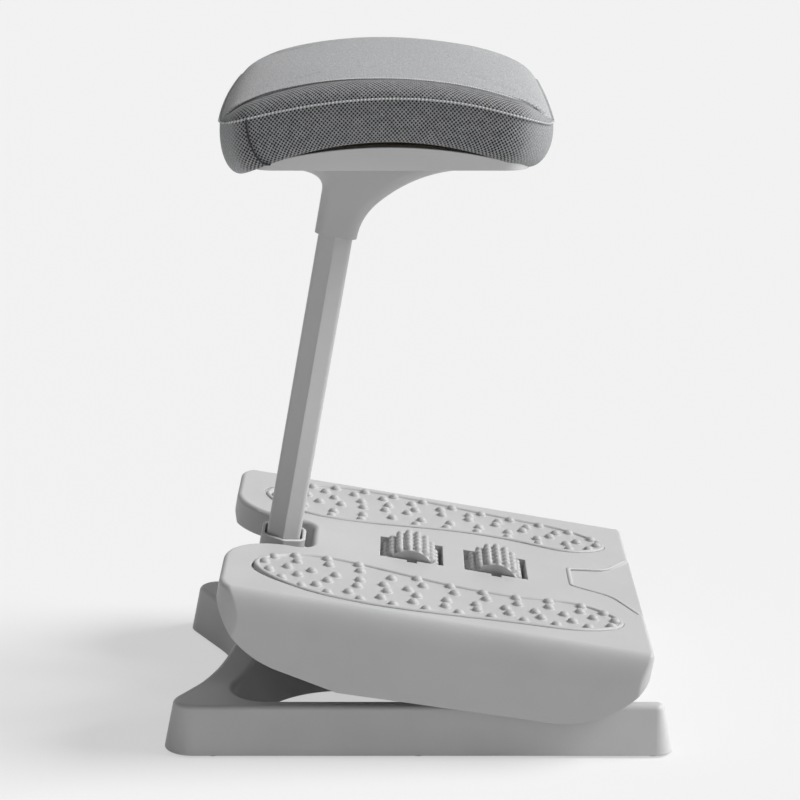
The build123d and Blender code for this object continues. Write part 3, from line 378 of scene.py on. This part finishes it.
def cushionShape(look):
    across, along = look["across"], look["along"]
    creaseFit = np.polyfit(*np.array(look["creaseLine"], float).T, look["creaseDegree"])
    seamFit = np.polyfit(*np.array(look["seamLine"], float).T, look["seamDegree"])
    crease, seam, foot = (planLoop(look[key], across, along) for key in ("crease", "seam", "foot"))
    # the ends bow out in plan, most at their middle
    for loop in (crease, seam, foot):
        reach = np.clip((loop[:, 0] - look["archMid"]) / look["bowReach"], -1, 1)
        bow = np.where(reach < 0, look["bow"][0], look["bow"][1])
        loop[:, 0] += bow * np.sign(reach) * reach ** 4 * (1 - (loop[:, 1] / look["seam"]["half"]) ** 2)
    outward = seam - np.roll(seam, 1, axis=0)
    outward = outward + np.roll(outward, -1, axis=0)
    outward = np.column_stack([outward[:, 1], -outward[:, 0], np.zeros(len(seam))])
    outward /= np.linalg.norm(outward, axis=1, keepdims=True)

    def archZ(plan):
        return look["archTop"] - look["archBend"] * (plan[..., 0] - look["archMid"]) ** 2

    ends = np.array(look["creaseLine"])[[0, -1], 0]
    creaseRing = np.column_stack([crease, np.polyval(creaseFit, np.clip(crease[:, 0], *ends))])
    seamRing = np.column_stack([seam, np.polyval(seamFit, np.clip(seam[:, 0], *ends))])
    footRing = np.column_stack([foot, archZ(foot)])
    # along the long sides the crease stands apart from the seam, round the ends it runs down to it
    low, high = look["sideShare"]
    share = np.clip((np.abs(outward[:, 1:2]) - low) / (high - low), 0, 1)
    share = share ** 2 * (3 - 2 * share)
    lipRing = seamRing - outward * look["lip"][0] + np.array([0.0, 0.0, look["lip"][1]])
    creaseRing = lipRing + share * (creaseRing - lipRing)
    top = fillLoop(creaseRing[:, :2], across, along)
    # z = the near edge's + the ends' own drop, fading away from them + a crown, fuller towards the ends
    nearZ = creaseRing[:across + 1, 2]
    rightZ = creaseRing[across:across + along + 1, 2]
    leftZ = np.append(creaseRing[2 * across + along:, 2], creaseRing[0, 2])[::-1]
    u = np.linspace(-1.0, 1.0, across + 1)[:, None]
    v = np.linspace(-1.0, 1.0, along + 1)[None, :]
    topZ = (nearZ[:, None] + ((1 - u) / 2) ** look["endDecay"] * (leftZ - leftZ[0])[None]
            + ((1 + u) / 2) ** look["endDecay"] * (rightZ - rightZ[0])[None]
            + (1 - u ** 16) * (look["crown"] * (1 - v ** 2) + look["endCrown"] * u ** 4 * (1 - v ** 6)))
    top = np.dstack([top, topZ])
    rings = []
    # shoulder: quarter ellipse, level at the crease and upright at the seam
    for turn in np.linspace(0.0, np.pi / 2, look["bandRows"] + 1)[1:]:
        plan = creaseRing[:, :2] + (seamRing - creaseRing)[:, :2] * np.sin(turn)
        rings.append(np.column_stack([plan, seamRing[:, 2] + (creaseRing - seamRing)[:, 2] * np.cos(turn)]))
    # boxing: quarter ellipse, upright at the seam and tucked under at the foot, a little fuller halfway
    for turn in np.linspace(0.0, np.pi / 2, look["boxingRows"] + 1)[1:]:
        plan = seamRing[:, :2] + (footRing - seamRing)[:, :2] * (1 - np.cos(turn))
        ring = np.column_stack([plan, seamRing[:, 2] + (footRing - seamRing)[:, 2] * np.sin(turn)])
        rings.append(ring + outward * look["bulge"] * np.sin(2 * turn))
    under = fillLoop(foot, across, along)
    under = np.dstack([under, archZ(under)])
    return top, np.array(rings), under, outward


def cushionMesh(look):
    # one closed mesh: the top grid, rings down its side, and an underside that shares the last ring
    top, rings, under, outward = cushionShape(look)
    across, along = look["across"], look["along"]
    topIndex = np.arange(top.shape[0] * top.shape[1]).reshape(top.shape[:2])
    ringIndex = topIndex.size + np.arange(rings.shape[0] * rings.shape[1]).reshape(rings.shape[:2])
    ringIndex = np.vstack([loopIndex(topIndex), ringIndex])
    inner = topIndex.size + rings.shape[0] * rings.shape[1]
    underIndex = np.full(topIndex.shape, -1)
    underSize = (across - 1, along - 1)
    underIndex[1:-1, 1:-1] = inner + np.arange(math.prod(underSize)).reshape(underSize)
    border = ringIndex[-1]
    underIndex[:-1, 0], underIndex[-1, :-1] = border[:across], border[across:across + along]
    underIndex[:0:-1, -1] = border[across + along:2 * across + along]
    underIndex[0, :0:-1] = border[2 * across + along:]
    points = np.vstack([top.reshape(-1, 3), rings.reshape(-1, 3), under[1:-1, 1:-1].reshape(-1, 3)])
    topQuads = gridQuads(topIndex)[:, ::-1]
    sideQuads = gridQuads(ringIndex, closed=True)[:, ::-1]
    underQuads = gridQuads(underIndex)
    return points, topQuads, sideQuads, underQuads, ringIndex, outward


def weaveMaterial(name, look):
    # knitted mesh: holes sit where cos(2 pi u / pitchU) cos(2 pi v / pitchV) is high, threads between them
    mat, tree, shader = freshMaterial(name)
    uv = addNode(tree, "ShaderNodeUVMap", uv_map="weave").outputs["UV"]
    parts = addNode(tree, "ShaderNodeSeparateXYZ")
    tree.links.new(uv, parts.inputs[0])
    waves = [mathNode(tree, "COSINE", mathNode(tree, "MULTIPLY", parts.outputs[axis], 2 * math.pi / pitch))
             for axis, pitch in zip("XY", look["pitch"])]
    lattice = mathNode(tree, "MULTIPLY", *waves)
    jitter = objectNoise(tree, look["jitterScale"], 2.0)
    jitter = ramp(tree, jitter, 0.25, 0.75, -look["jitter"], look["jitter"])
    lattice = mathNode(tree, "ADD", lattice, jitter)
    hole = ramp(tree, lattice, *look["holeEdge"])
    if look["wrapFade"]:
        wrap = addNode(tree, "ShaderNodeAttribute", attribute_name="wrap").outputs["Fac"]
        faded = ramp(tree, wrap, *look["wrapEdge"], 1.0, 1.0 - look["wrapFade"])
        hole = mathNode(tree, "MULTIPLY", hole, faded)
    fleck = ramp(tree, objectNoise(tree, look["fleckScale"], 3.0, 0.7), *noiseBand)
    thread = mixColor(tree, fleck, look["threadDark"], look["thread"])
    tree.links.new(mixColor(tree, hole, thread, look["hole"]), shader.inputs["Base Color"])
    tree.links.new(ramp(tree, fleck, 0.0, 1.0, *look["rough"]), shader.inputs["Roughness"])
    shader.inputs["Specular IOR Level"].default_value = look["gloss"]
    shader.inputs["Sheen Weight"].default_value = look["sheen"]
    shader.inputs["Sheen Roughness"].default_value = look["sheenRough"]
    height = mathNode(tree, "SUBTRACT", mathNode(tree, "MULTIPLY", fleck, look["fleckRise"]), hole)
    linkBump(tree, shader, height, look["relief"], look["reliefDepth"])
    return mat


# On the boxing the holes are open and fade round the ends, on the top they are fine and closed
weaveLook = {"rough": (0.95, 0.8), "gloss": 0.15, "sheenRough": 0.5, "fleckRise": 0.3,
             "reliefDepth": 0.0006}
sideWeave = weaveMaterial("cushion_side_mesh", {
    **weaveLook, "pitch": (2.95, 3.1), "jitter": 0.12, "jitterScale": 300.0, "holeEdge": (-0.12, 0.30),
    "wrapFade": 0.8, "wrapEdge": (0.03, 0.45), "fleckScale": 1300.0,
    "thread": (0.50, 0.505, 0.515), "threadDark": (0.27, 0.274, 0.282),
    "hole": (0.016, 0.017, 0.02), "sheen": 0.15, "relief": 0.5})
topWeave = weaveMaterial("cushion_top_mesh", {
    **weaveLook, "pitch": (1.9, 2.0), "jitter": 0.3, "jitterScale": 700.0, "holeEdge": (0.2, 0.9),
    "wrapFade": 0.0, "fleckScale": 900.0,
    "thread": (0.70, 0.705, 0.715), "threadDark": (0.36, 0.365, 0.375),
    "hole": (0.18, 0.183, 0.19), "sheen": 0.2, "relief": 0.35})


clothLook = {"quality": 6, "mass": 0.2, "stretch": 25.0, "shear": 12.0, "bend": 1.0, "pressure": 4.0,
             "frames": 20, "swell": 2.4}


def inflate(piece, points, pinned, look):
    # cloth under pressure, held at its seams, its movement capped: step = swell tanh(step / swell)
    group = piece.vertex_groups.new(name="held")
    group.add([int(i) for i in pinned], 1.0, "REPLACE")
    cloth = piece.modifiers.new("cloth", "CLOTH")
    cloth.settings.quality = look["quality"]
    cloth.settings.mass = look["mass"]
    cloth.settings.tension_stiffness = look["stretch"]
    cloth.settings.compression_stiffness = look["stretch"]
    cloth.settings.shear_stiffness = look["shear"]
    cloth.settings.bending_stiffness = look["bend"]
    cloth.settings.use_pressure = True
    cloth.settings.uniform_pressure_force = look["pressure"]
    cloth.settings.vertex_group_mass = "held"
    cloth.settings.effector_weights.gravity = 0.0
    cloth.collision_settings.use_collision = False
    cloth.point_cache.frame_start = 1
    cloth.point_cache.frame_end = look["frames"]
    for frameNumber in range(1, look["frames"] + 1):
        bpy.context.scene.frame_set(frameNumber)
    solved = piece.evaluated_get(bpy.context.evaluated_depsgraph_get())
    moved = np.empty(points.size, dtype=np.float32)
    solved.data.vertices.foreach_get("co", moved)
    step = moved.reshape(-1, 3) - points
    reach = np.linalg.norm(step, axis=1, keepdims=True)
    limit = look["swell"] / 1000
    step *= limit * np.tanh(reach / limit) / np.maximum(reach, 1e-9)
    piece.modifiers.remove(cloth)
    piece.vertex_groups.remove(group)
    bpy.context.scene.frame_set(1)
    piece.data.vertices.foreach_set("co", (points + step).astype(np.float32).ravel())
    piece.data.update()
    return float(reach.max())


def makeCushion(look):
    points, topQuads, sideQuads, underQuads, ringIndex, outward = cushionMesh(look)
    quads = np.vstack([topQuads, sideQuads, underQuads])
    weaves = [topWeave, sideWeave]
    piece = makePiece("cushion_cover", points / 1000, quads, "leg_rest", weaves)
    mesh = piece.data
    counts = [len(topQuads), len(sideQuads), len(underQuads)]
    onSide = np.repeat([False, True, False], counts)
    mesh.polygons.foreach_set("material_index", np.repeat([0, 1, 1], counts))
    # side UV in mm: along the seam, and down from it
    stack = points[ringIndex]
    seamPoints = stack[look["bandRows"]]
    along = np.concatenate([[0.0], np.cumsum(np.linalg.norm(np.diff(seamPoints, axis=0), axis=1))])
    girth = along[-1] + np.linalg.norm(seamPoints[0] - seamPoints[-1])
    drops = np.linalg.norm(np.diff(stack, axis=0), axis=2)
    down = np.vstack([np.zeros(stack.shape[1]), np.cumsum(drops, axis=0)])
    down -= down[look["bandRows"]]
    sideUv = points[:, :2].copy()
    sideUv[ringIndex.ravel()] = np.column_stack([np.tile(along, len(stack)), down.ravel()])
    corner = quads.ravel()
    uv = np.where(np.repeat(onSide, 4)[:, None], sideUv[corner], points[corner, :2])
    faceU = uv[:, 0].reshape(-1, 4)
    closing = (faceU.max(axis=1, keepdims=True) - faceU > girth / 2) & onSide[:, None]
    uv[:, 0] += np.where(closing, girth, 0.0).ravel()
    layer = mesh.uv_layers.new(name="weave")
    layer.data.foreach_set("uv", uv.astype(np.float32).ravel())
    wrap = np.zeros(len(points), dtype=np.float32)
    wrap[ringIndex.ravel()] = np.tile(outward[:, 0] ** 2, len(ringIndex))
    mesh.attributes.new("wrap", "FLOAT", "POINT").data.foreach_set("value", wrap)
    firstUnder = len(points) - (look["across"] - 1) * (look["along"] - 1)
    held = np.concatenate([ringIndex[0], ringIndex[look["bandRows"]], ringIndex[-1],
                           np.arange(firstUnder, len(points))])
    moved = inflate(piece, points / 1000, held, clothLook)
    print("cushion cloth moved up to", round(moved * 1000, 2), "mm")
    smooth = piece.modifiers.new("smooth", "SUBSURF")
    smooth.levels = smooth.render_levels = 1
    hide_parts("cushion")
    return stack, outward


def threadMaterial(name, look):
    # twisted sewing thread: pale turns with darker gaps along u
    mat, tree, shader = freshMaterial(name)
    uv = addNode(tree, "ShaderNodeUVMap", uv_map="weave").outputs["UV"]
    parts = addNode(tree, "ShaderNodeSeparateXYZ")
    tree.links.new(uv, parts.inputs[0])
    slant = mathNode(tree, "MULTIPLY", parts.outputs["Y"], look["slant"])
    slant = mathNode(tree, "ADD", parts.outputs["X"], slant)
    turns = mathNode(tree, "COSINE", mathNode(tree, "MULTIPLY", slant, 2 * math.pi / look["pitch"]))
    color = mixColor(tree, ramp(tree, turns, -0.8, 0.3), look["gap"], look["tone"])
    tree.links.new(color, shader.inputs["Base Color"])
    fuzz = objectNoise(tree, look["fuzzScale"], 3.0)
    tree.links.new(ramp(tree, fuzz, *noiseBand, *look["rough"]), shader.inputs["Roughness"])
    linkBump(tree, shader, turns, look["relief"], look["reliefDepth"])
    return mat


threadLook = {"sides": 8, "upward": (0.0, 0.0, 1.0), "fuzzScale": 1500.0, "rough": (0.8, 0.95),
              "relief": 0.5, "reliefDepth": 0.0004}


def makeThread(name, path, change, closed):
    # a round thread along the path, its UV in mm along it and in turns round it
    look = {**threadLook, **change}
    points, quads, ends = tubeAlong(path / 1000, look["radius"] / 1000, look["sides"], closed, look["upward"])
    piece = makePiece(name, points, quads, "leg_rest", [threadMaterial(name, look)], ends)
    step = np.concatenate([[0.0], np.cumsum(np.linalg.norm(np.diff(path, axis=0), axis=1))])
    around = np.arange(look["sides"]) / look["sides"]
    pointUv = np.column_stack([np.repeat(step, look["sides"]), np.tile(around, len(path))])
    setUv(piece.data, pointUv, step[-1] if closed else None)


cushionStack, cushionOutward = makeCushion(cushionLook)
seamRow = cushionLook["bandRows"]
pipingLook = {"proud": 0.5, "radius": 0.75, "pitch": 2.6, "slant": 1.3,
              "tone": (0.74, 0.745, 0.75), "gap": (0.34, 0.345, 0.35)}
makeThread("cushion_piping", cushionStack[seamRow] + cushionOutward * pipingLook["proud"], pipingLook, True)

# a pale cord lies in the crease along each long side
cordLook = {"proud": 0.5, "rise": 0.4, "radius": 0.8, "pitch": 1.8, "slant": 0.9,
            "tone": (0.84, 0.845, 0.85), "gap": (0.7, 0.705, 0.71)}
farCorner = cushionLook["across"] + cushionLook["along"]
for name, first in (("near", 0), ("far", farCorner)):
    run = slice(first, first + cushionLook["across"] + 1)
    path = cushionStack[0, run] + cushionOutward[run] * cordLook["proud"] + (0.0, 0.0, cordLook["rise"])
    makeThread(f"cushion_{name}_edge_cord", path, cordLook, False)

# corner joins of the boxing slant from the piping to the foot, in columns counted from the corner
joinLook = {"top": 4.2, "foot": 6.0, "lean": 1.4, "proud": 1.6, "radius": 0.7, "upward": (0.0, 1.0, 0.0),
            "pitch": 2.2, "slant": 1.0, "tone": (0.05, 0.05, 0.052), "gap": (0.012, 0.012, 0.013)}
for name, corner, way in (("near", 0, 1), ("far", farCorner + cushionLook["across"], -1)):
    rows = np.arange(seamRow, len(cushionStack))
    fallen = (rows - seamRow) / (len(cushionStack) - 1 - seamRow)
    drift = (joinLook["foot"] - joinLook["top"]) * fallen ** joinLook["lean"]
    columns = corner + way * (joinLook["top"] + drift)
    low = np.floor(columns).astype(int)
    share = (columns - low)[:, None]
    path = cushionStack[rows, low] * (1 - share) + cushionStack[rows, low + 1] * share
    outward = cushionOutward[low] * (1 - share) + cushionOutward[low + 1] * share
    makeThread(f"cushion_{name}_join", path + outward * joinLook["proud"], joinLook, False)
print("cushion made")

# The plate's own axes: x' down its slope, y' across, z' square to its top
plateAxes = {"origin": (15.0, 0.0, 114.0), "slope": 9.8}


def onPlate(local):
    slope = math.radians(plateAxes["slope"])
    run, drop = math.cos(slope), math.sin(slope)
    axes = np.array([[run, 0, -drop], [0, 1, 0], [drop, 0, run]])
    return (np.asarray(local) @ axes + np.array(plateAxes["origin"])) / 1000


padLook = {
    "toe": (-146.0, 90.0), "heel": (150.0, 95.0),
    # x, inner y and outer y of the sole's edge
    "sole": ((-119.0, 57.5, 128.0), (-57.0, 54.0, 144.5), (13.0, 68.8, 139.5), (78.0, 68.5, 131.5),
             (121.0, 66.0, 123.5)),
    "edgeSteps": 280, "rowSteps": 400, "beadSteps": 9, "sink": 0.1, "thickness": 2.8,
    "beadWidth": 4.2, "beadHeight": 1.7, "border": (0.25, 1.5),
    # each row: share of the width at its two ends, step from there, first x, pitch, count
    "rows": ((1.0, 1.0, -6.9, -86.4, 25.8, 9), (1.0, 1.0, -18.5, -95.2, 25.4, 9),
             (0.64, 0.49, 0.0, -110.4, 23.6, 11), (0.46, 0.44, 0.0, -119.0, 19.2, 6),
             (0.0, 0.0, 19.5, -112.0, 25.3, 10), (0.0, 0.0, 6.4, -114.0, 25.6, 3),
             (0.0, 0.0, 6.4, -15.6, 26.6, 6)),
    "tips": ((-130.8, 71.0), (-137.6, 85.5), (-133.4, 102.5), (-123.0, 117.0), (-107.0, 129.0),
             (135.0, 79.5), (143.0, 93.5), (139.0, 107.0)),
    # the foot: how far it flares, and its z, in two steps
    "nubRadius": 4.3, "nubHeight": 3.6, "nubFoot": ((0.15, 0.25), (0.5, -0.05)),
    "nubTip": 0.05, "nubLowest": 0.2, "nubSteps": 8, "nubSides": 20,
}


def closedSpline(knots, count):
    # periodic cubic through the knots, with chord lengths as its parameter
    knots = np.asarray(knots, float)
    size = len(knots)
    chord = np.linalg.norm(np.roll(knots, -1, axis=0) - knots, axis=1)
    before = np.roll(chord, 1)
    system = np.zeros((size, size))
    rows = np.arange(size)
    system[rows, rows - 1] = chord
    system[rows, rows] = 2 * (chord + before)
    system[rows, (rows + 1) % size] += before
    rise = (np.roll(knots, -1, axis=0) - knots) / chord[:, None]
    slopes = np.linalg.solve(system, 3 * (before[:, None] * rise + chord[:, None] * np.roll(rise, 1, axis=0)))
    start = np.concatenate([[0.0], np.cumsum(chord)])
    where = np.linspace(0.0, start[-1], count, endpoint=False)
    span = np.clip(np.searchsorted(start, where, side="right") - 1, 0, size - 1)
    t = ((where - start[span]) / chord[span])[:, None]
    length = chord[span][:, None]
    after = (span + 1) % size
    return ((1 + 2 * t) * (1 - t) ** 2 * knots[span] + t * (1 - t) ** 2 * length * slopes[span]
            + t * t * (3 - 2 * t) * knots[after] + t * t * (t - 1) * length * slopes[after])


def soleLoop(look, count):
    # outline from the toe's tip down the inner side, round the heel and back up the outer side
    inner = [(x, near) for x, near, _ in look["sole"]]
    outer = [(x, far) for x, _, far in reversed(look["sole"])]
    return closedSpline([look["toe"], *inner, look["heel"], *outer], count)


def nubPlaces(look):
    # rows at a share of the sole's width, y = inner + share (outer - inner) + step, and nubs round its tips
    edge = soleLoop(look, look["rowSteps"])
    edge = np.roll(edge, -int(np.argmin(edge[:, 0])), axis=0)
    turn = int(np.argmax(edge[:, 0]))
    places = [np.array(look["tips"])]
    for firstShare, lastShare, step, firstX, pitch, count in look["rows"]:
        x = firstX + pitch * np.arange(count)
        inner = np.interp(x, edge[:turn + 1, 0], edge[:turn + 1, 1])
        outer = np.interp(x, edge[turn:, 0][::-1], edge[turn:, 1][::-1])
        y = inner + np.linspace(firstShare, lastShare, count) * (outer - inner) + step
        places.append(np.column_stack([x, y]))
    return np.vstack(places)


def makePad(name, side, look):
    edge = soleLoop(look, look["edgeSteps"])
    tangent = np.roll(edge, -1, axis=0) - np.roll(edge, 1, axis=0)
    tangent /= np.linalg.norm(tangent, axis=1, keepdims=True)
    inward = np.column_stack([-tangent[:, 1], tangent[:, 0]])
    # rim: upright wall, a half-round bead, then a level border
    across = np.linspace(0.0, np.pi, look["beadSteps"])
    bead = np.column_stack([look["beadWidth"] * (1 - np.cos(across)) / 2,
                            look["beadHeight"] * np.sin(across)])
    border = [(look["beadWidth"] + width, 0.0) for width in look["border"]]
    steps = [(0.0, -look["thickness"]), *bead.tolist(), *border]
    rings = np.array([np.column_stack([edge + inward * into, np.full(len(edge), rise)])
                      for into, rise in steps])
    index = np.arange(rings.shape[0] * rings.shape[1]).reshape(rings.shape[:2])
    quads = gridQuads(index, closed=True)
    polygons = [index[-1], index[0][::-1]]
    # nubs: half ellipsoids with a small flared foot
    rise = np.linspace(np.pi / 2, look["nubLowest"], look["nubSteps"])
    profile = np.column_stack([look["nubRadius"] * np.cos(rise), look["nubHeight"] * np.sin(rise)])
    profile[0, 0] = look["nubTip"]
    profile = np.vstack([profile, np.array(look["nubFoot"]) + (look["nubRadius"], 0.0)])
    sides = look["nubSides"]
    turn = np.arange(sides) * 2 * np.pi / sides
    dome = np.stack([profile[:, :1] * np.cos(turn), profile[:, :1] * np.sin(turn),
                     np.repeat(profile[:, 1:], sides, axis=1)], axis=-1).reshape(-1, 3)
    domeIndex = np.arange(len(dome)).reshape(len(profile), sides)
    places = nubPlaces(look)
    domes = dome[None] + np.column_stack([places, np.zeros(len(places))])[:, None]
    starts = index.size + np.arange(len(places)) * len(dome)
    domeQuads = (gridQuads(domeIndex, closed=True)[:, ::-1][None] + starts[:, None, None]).reshape(-1, 4)
    points = np.vstack([rings.reshape(-1, 3), domes.reshape(-1, 3)])
    points[:, 2] -= look["sink"]
    points[:, 1] *= side
    quads = np.vstack([quads, domeQuads])
    polygons += [domeIndex[0] + start for start in starts]
    # the mirrored side turns its faces back outwards
    if side < 0:
        quads = quads[:, ::-1]
        polygons = [p[::-1] for p in polygons]
    piece = makePiece(name, onPlate(points), quads, "pedal",
                      [plastics["pad_plastic"]], polygons)
    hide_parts(name.replace("_cover", ""))
    return len(places)


for name, side in (("left_massage_pad_cover", -1), ("right_massage_pad_cover", 1)):
    print(name, makePad(name, side, padLook), "nubs")

# Thin lip round the heel recess
recessLook = {"corners": ((113.0, 0.0), (113.0, 21.0), (146.0, 33.0), (165.5, 66.0)), "radii": (4.0, 26.0),
              "lip": 1.9, "sides": 12, "sink": 0.2, "flat": 0.6}


def roundedLine(corners, radii):
    # straight runs with an arc of its own radius at each inner corner
    arcSteps = 14
    corners = np.array(corners)
    runs = [corners[:1]]
    for before, corner, after, radius in zip(corners, corners[1:], corners[2:], radii):
        back = (before - corner) / np.linalg.norm(before - corner)
        ahead = (after - corner) / np.linalg.norm(after - corner)
        half = math.acos(np.clip(back @ ahead, -1, 1)) / 2
        centre = corner + (back + ahead) / np.linalg.norm(back + ahead) * radius / math.sin(half)
        first = corner + back * radius / math.tan(half)
        last = corner + ahead * radius / math.tan(half)
        start = math.atan2(*(first - centre)[::-1])
        sweep = (math.atan2(*(last - centre)[::-1]) - start + math.pi) % (2 * math.pi) - math.pi
        turn = start + sweep * np.linspace(0, 1, arcSteps)
        runs.append(centre + radius * np.column_stack([np.cos(turn), np.sin(turn)]))
    runs.append(corners[-1:])
    return np.vstack(runs)


halfLine = roundedLine(recessLook["corners"], recessLook["radii"])
lipLine = np.vstack([halfLine[:0:-1] * (1, -1), halfLine])
lipPath = np.column_stack([lipLine, np.full(len(lipLine), -recessLook["sink"])])
lipPoints, lipQuads, lipEnds = tubeAlong(lipPath, recessLook["lip"], recessLook["sides"], False)
lipPoints[:, 2] = recessLook["flat"] * (lipPoints[:, 2] + recessLook["sink"]) - recessLook["sink"]
makePiece("heel_recess_lip", onPlate(lipPoints), lipQuads, "pedal",
          [plastics["plate_plastic"]], lipEnds)

# Rollers: rear and front hold x on the plate and the turn of the first row of nubs
rollerLook = {
    "radius": 20.4, "length": 45.7, "depth": 12.3, "bore": 4.1, "rear": (-19.7, 0.0), "front": (50.3, 10.0),
    "rows": 18, "columns": 5, "collar": 0.8, "rim": (1.0, 0.4), "rimWidth": 0.05,
    "nubHeight": 4.3, "nubMid": 2.0, "nubHalf": (3.6, 4.1), "steps": 14,
}


def makeRoller(name, place, look):
    # r = radius + nub (1 - a^2 - b^2)^0.5, a and b from -1 to 1 over each nub
    x, phase = place
    pitch = 2 * np.pi / look["rows"]
    nubMid = look["radius"] + look["nubMid"]
    turn = np.arange(look["rows"] * look["steps"]) * pitch / look["steps"] + math.radians(phase)
    run = look["length"] - 2 * look["collar"]
    y = np.linspace(-run / 2, run / 2, look["columns"] * look["steps"] + 1)
    a = ((turn - math.radians(phase) + pitch / 2) % pitch - pitch / 2) * nubMid / look["nubHalf"][0]
    columnPitch = run / look["columns"]
    b = ((y - y[0]) % columnPitch - columnPitch / 2) / look["nubHalf"][1]
    b[-1] = b[0]
    dome = np.clip(1 - a[None, :] ** 2 - b[:, None] ** 2, 0, 1) ** 0.5
    radius = look["radius"] + look["nubHeight"] * dome
    # each end: bore, end disc's edge, then a small step up to the nubs
    rim = np.array([look["bore"], *(look["radius"] - step for step in look["rim"])])
    rim = np.repeat(rim[:, None], len(turn), axis=1)
    radius = np.vstack([rim, radius[1:-1], rim[::-1]])
    half = look["length"] / 2
    rimY = np.array([half, half, half - look["rimWidth"]])
    y = np.concatenate([-rimY, y[1:-1], rimY[::-1]])
    acrossY = np.repeat(y[:, None], len(turn), axis=1)
    local = np.stack([radius * np.cos(turn), acrossY, radius * np.sin(turn)], axis=-1)
    local += np.array([x, 0.0, -look["depth"]])
    index = np.arange(local.shape[0] * local.shape[1]).reshape(local.shape[:2])
    index = np.vstack([index, index[:1]])
    piece = makePiece(name, onPlate(local.reshape(-1, 3)), gridQuads(index, closed=True),
                      name.replace("_cover", ""), [plastics["roller_plastic"]])
    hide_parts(name.replace("_cover", ""))


makeRoller("rear_roller_cover", rollerLook["rear"], rollerLook)
makeRoller("front_roller_cover", rollerLook["front"], rollerLook)
print("pads and rollers made")

# Floor, light and camera
stageLook = {"floorSize": 30.0, "floorTone": (0.9, 0.9, 0.896), "floorRough": 0.9, "floorGloss": 0.1,
             "floorGlow": 0.98, "floorGlowShare": 0.55, "ambient": 0.14, "backdrop": 0.9,
             "keyPower": 3.5, "keyAngle": 30.0, "keyFrom": (0.78, 0.06, 0.62),
             "fillPower": 0.12, "fillAngle": 50.0, "fillFrom": (0.35, -0.8, 0.35)}


def seenRays(tree):
    # 1 for what is seen directly, in a gloss or through glass
    rays = addNode(tree, "ShaderNodeLightPath").outputs
    direct = mathNode(tree, "MAXIMUM", rays["Is Camera Ray"], rays["Is Glossy Ray"])
    return mathNode(tree, "MAXIMUM", direct, rays["Is Transmission Ray"])


def makeFloor():
    half = stageLook["floorSize"] / 2
    mesh = bpy.data.meshes.new("floor")
    corners = [(-half, -half, 0), (half, -half, 0), (half, half, 0), (-half, half, 0)]
    mesh.from_pydata(corners, [], [(0, 1, 2, 3)])
    floor = bpy.data.objects.new("floor", mesh)
    bpy.context.scene.collection.objects.link(floor)
    mat, tree, shader = freshMaterial("pale_floor")
    shader.inputs["Base Color"].default_value = (*stageLook["floorTone"], 1.0)
    shader.inputs["Roughness"].default_value = stageLook["floorRough"]
    shader.inputs["Specular IOR Level"].default_value = stageLook["floorGloss"]
    # where it is seen it is part paper white, which keeps its shadow light
    glow = addNode(tree, "ShaderNodeEmission")
    glow.inputs["Strength"].default_value = stageLook["floorGlow"]
    share = ramp(tree, seenRays(tree), 0.0, 1.0, 0.0, stageLook["floorGlowShare"])
    mix = addNode(tree, "ShaderNodeMixShader")
    tree.links.new(share, mix.inputs["Fac"])
    tree.links.new(shader.outputs["BSDF"], mix.inputs[1])
    tree.links.new(glow.outputs["Emission"], mix.inputs[2])
    tree.links.new(mix.outputs["Shader"], tree.nodes["Material Output"].inputs["Surface"])
    mesh.materials.append(mat)


def makeSun(name, power, angle, origin):
    lamp = bpy.data.lights.new(name, "SUN")
    lamp.energy = power
    lamp.angle = math.radians(angle)
    sun = bpy.data.objects.new(name, lamp)
    sun.rotation_euler = Vector(origin).to_track_quat("Z", "Y").to_euler()
    bpy.context.scene.collection.objects.link(sun)


def makeWorld():
    # white where it is seen past the floor, a low even fill for everything else
    world = bpy.data.worlds.new("studio")
    bpy.context.scene.world = world
    world.use_nodes = True
    tree = world.node_tree
    backdrop = tree.nodes["Background"]
    backdrop.inputs["Color"].default_value = (1.0, 1.0, 1.0, 1.0)
    strength = ramp(tree, seenRays(tree), 0.0, 1.0, stageLook["ambient"], stageLook["backdrop"])
    tree.links.new(strength, backdrop.inputs["Strength"])


makeFloor()
makeWorld()
makeSun("key_light", stageLook["keyPower"], stageLook["keyAngle"], stageLook["keyFrom"])
makeSun("fill_light", stageLook["fillPower"], stageLook["fillAngle"], stageLook["fillFrom"])

cameraPlace = {"lens": 108.0, "sensor": 36.0, "at": (-0.014, -1.879, 0.755), "pitch": 15.15}
lens = bpy.data.cameras.new("photo_camera")
lens.lens = cameraPlace["lens"]
lens.sensor_width = cameraPlace["sensor"]
camera = bpy.data.objects.new("photo_camera", lens)
camera.location = cameraPlace["at"]
camera.rotation_euler = (math.radians(90.0 - cameraPlace["pitch"]), 0.0, 0.0)
bpy.context.scene.collection.objects.link(camera)
bpy.context.scene.camera = camera
bpy.context.scene.view_settings.view_transform = "Standard"
print("stage and camera set")
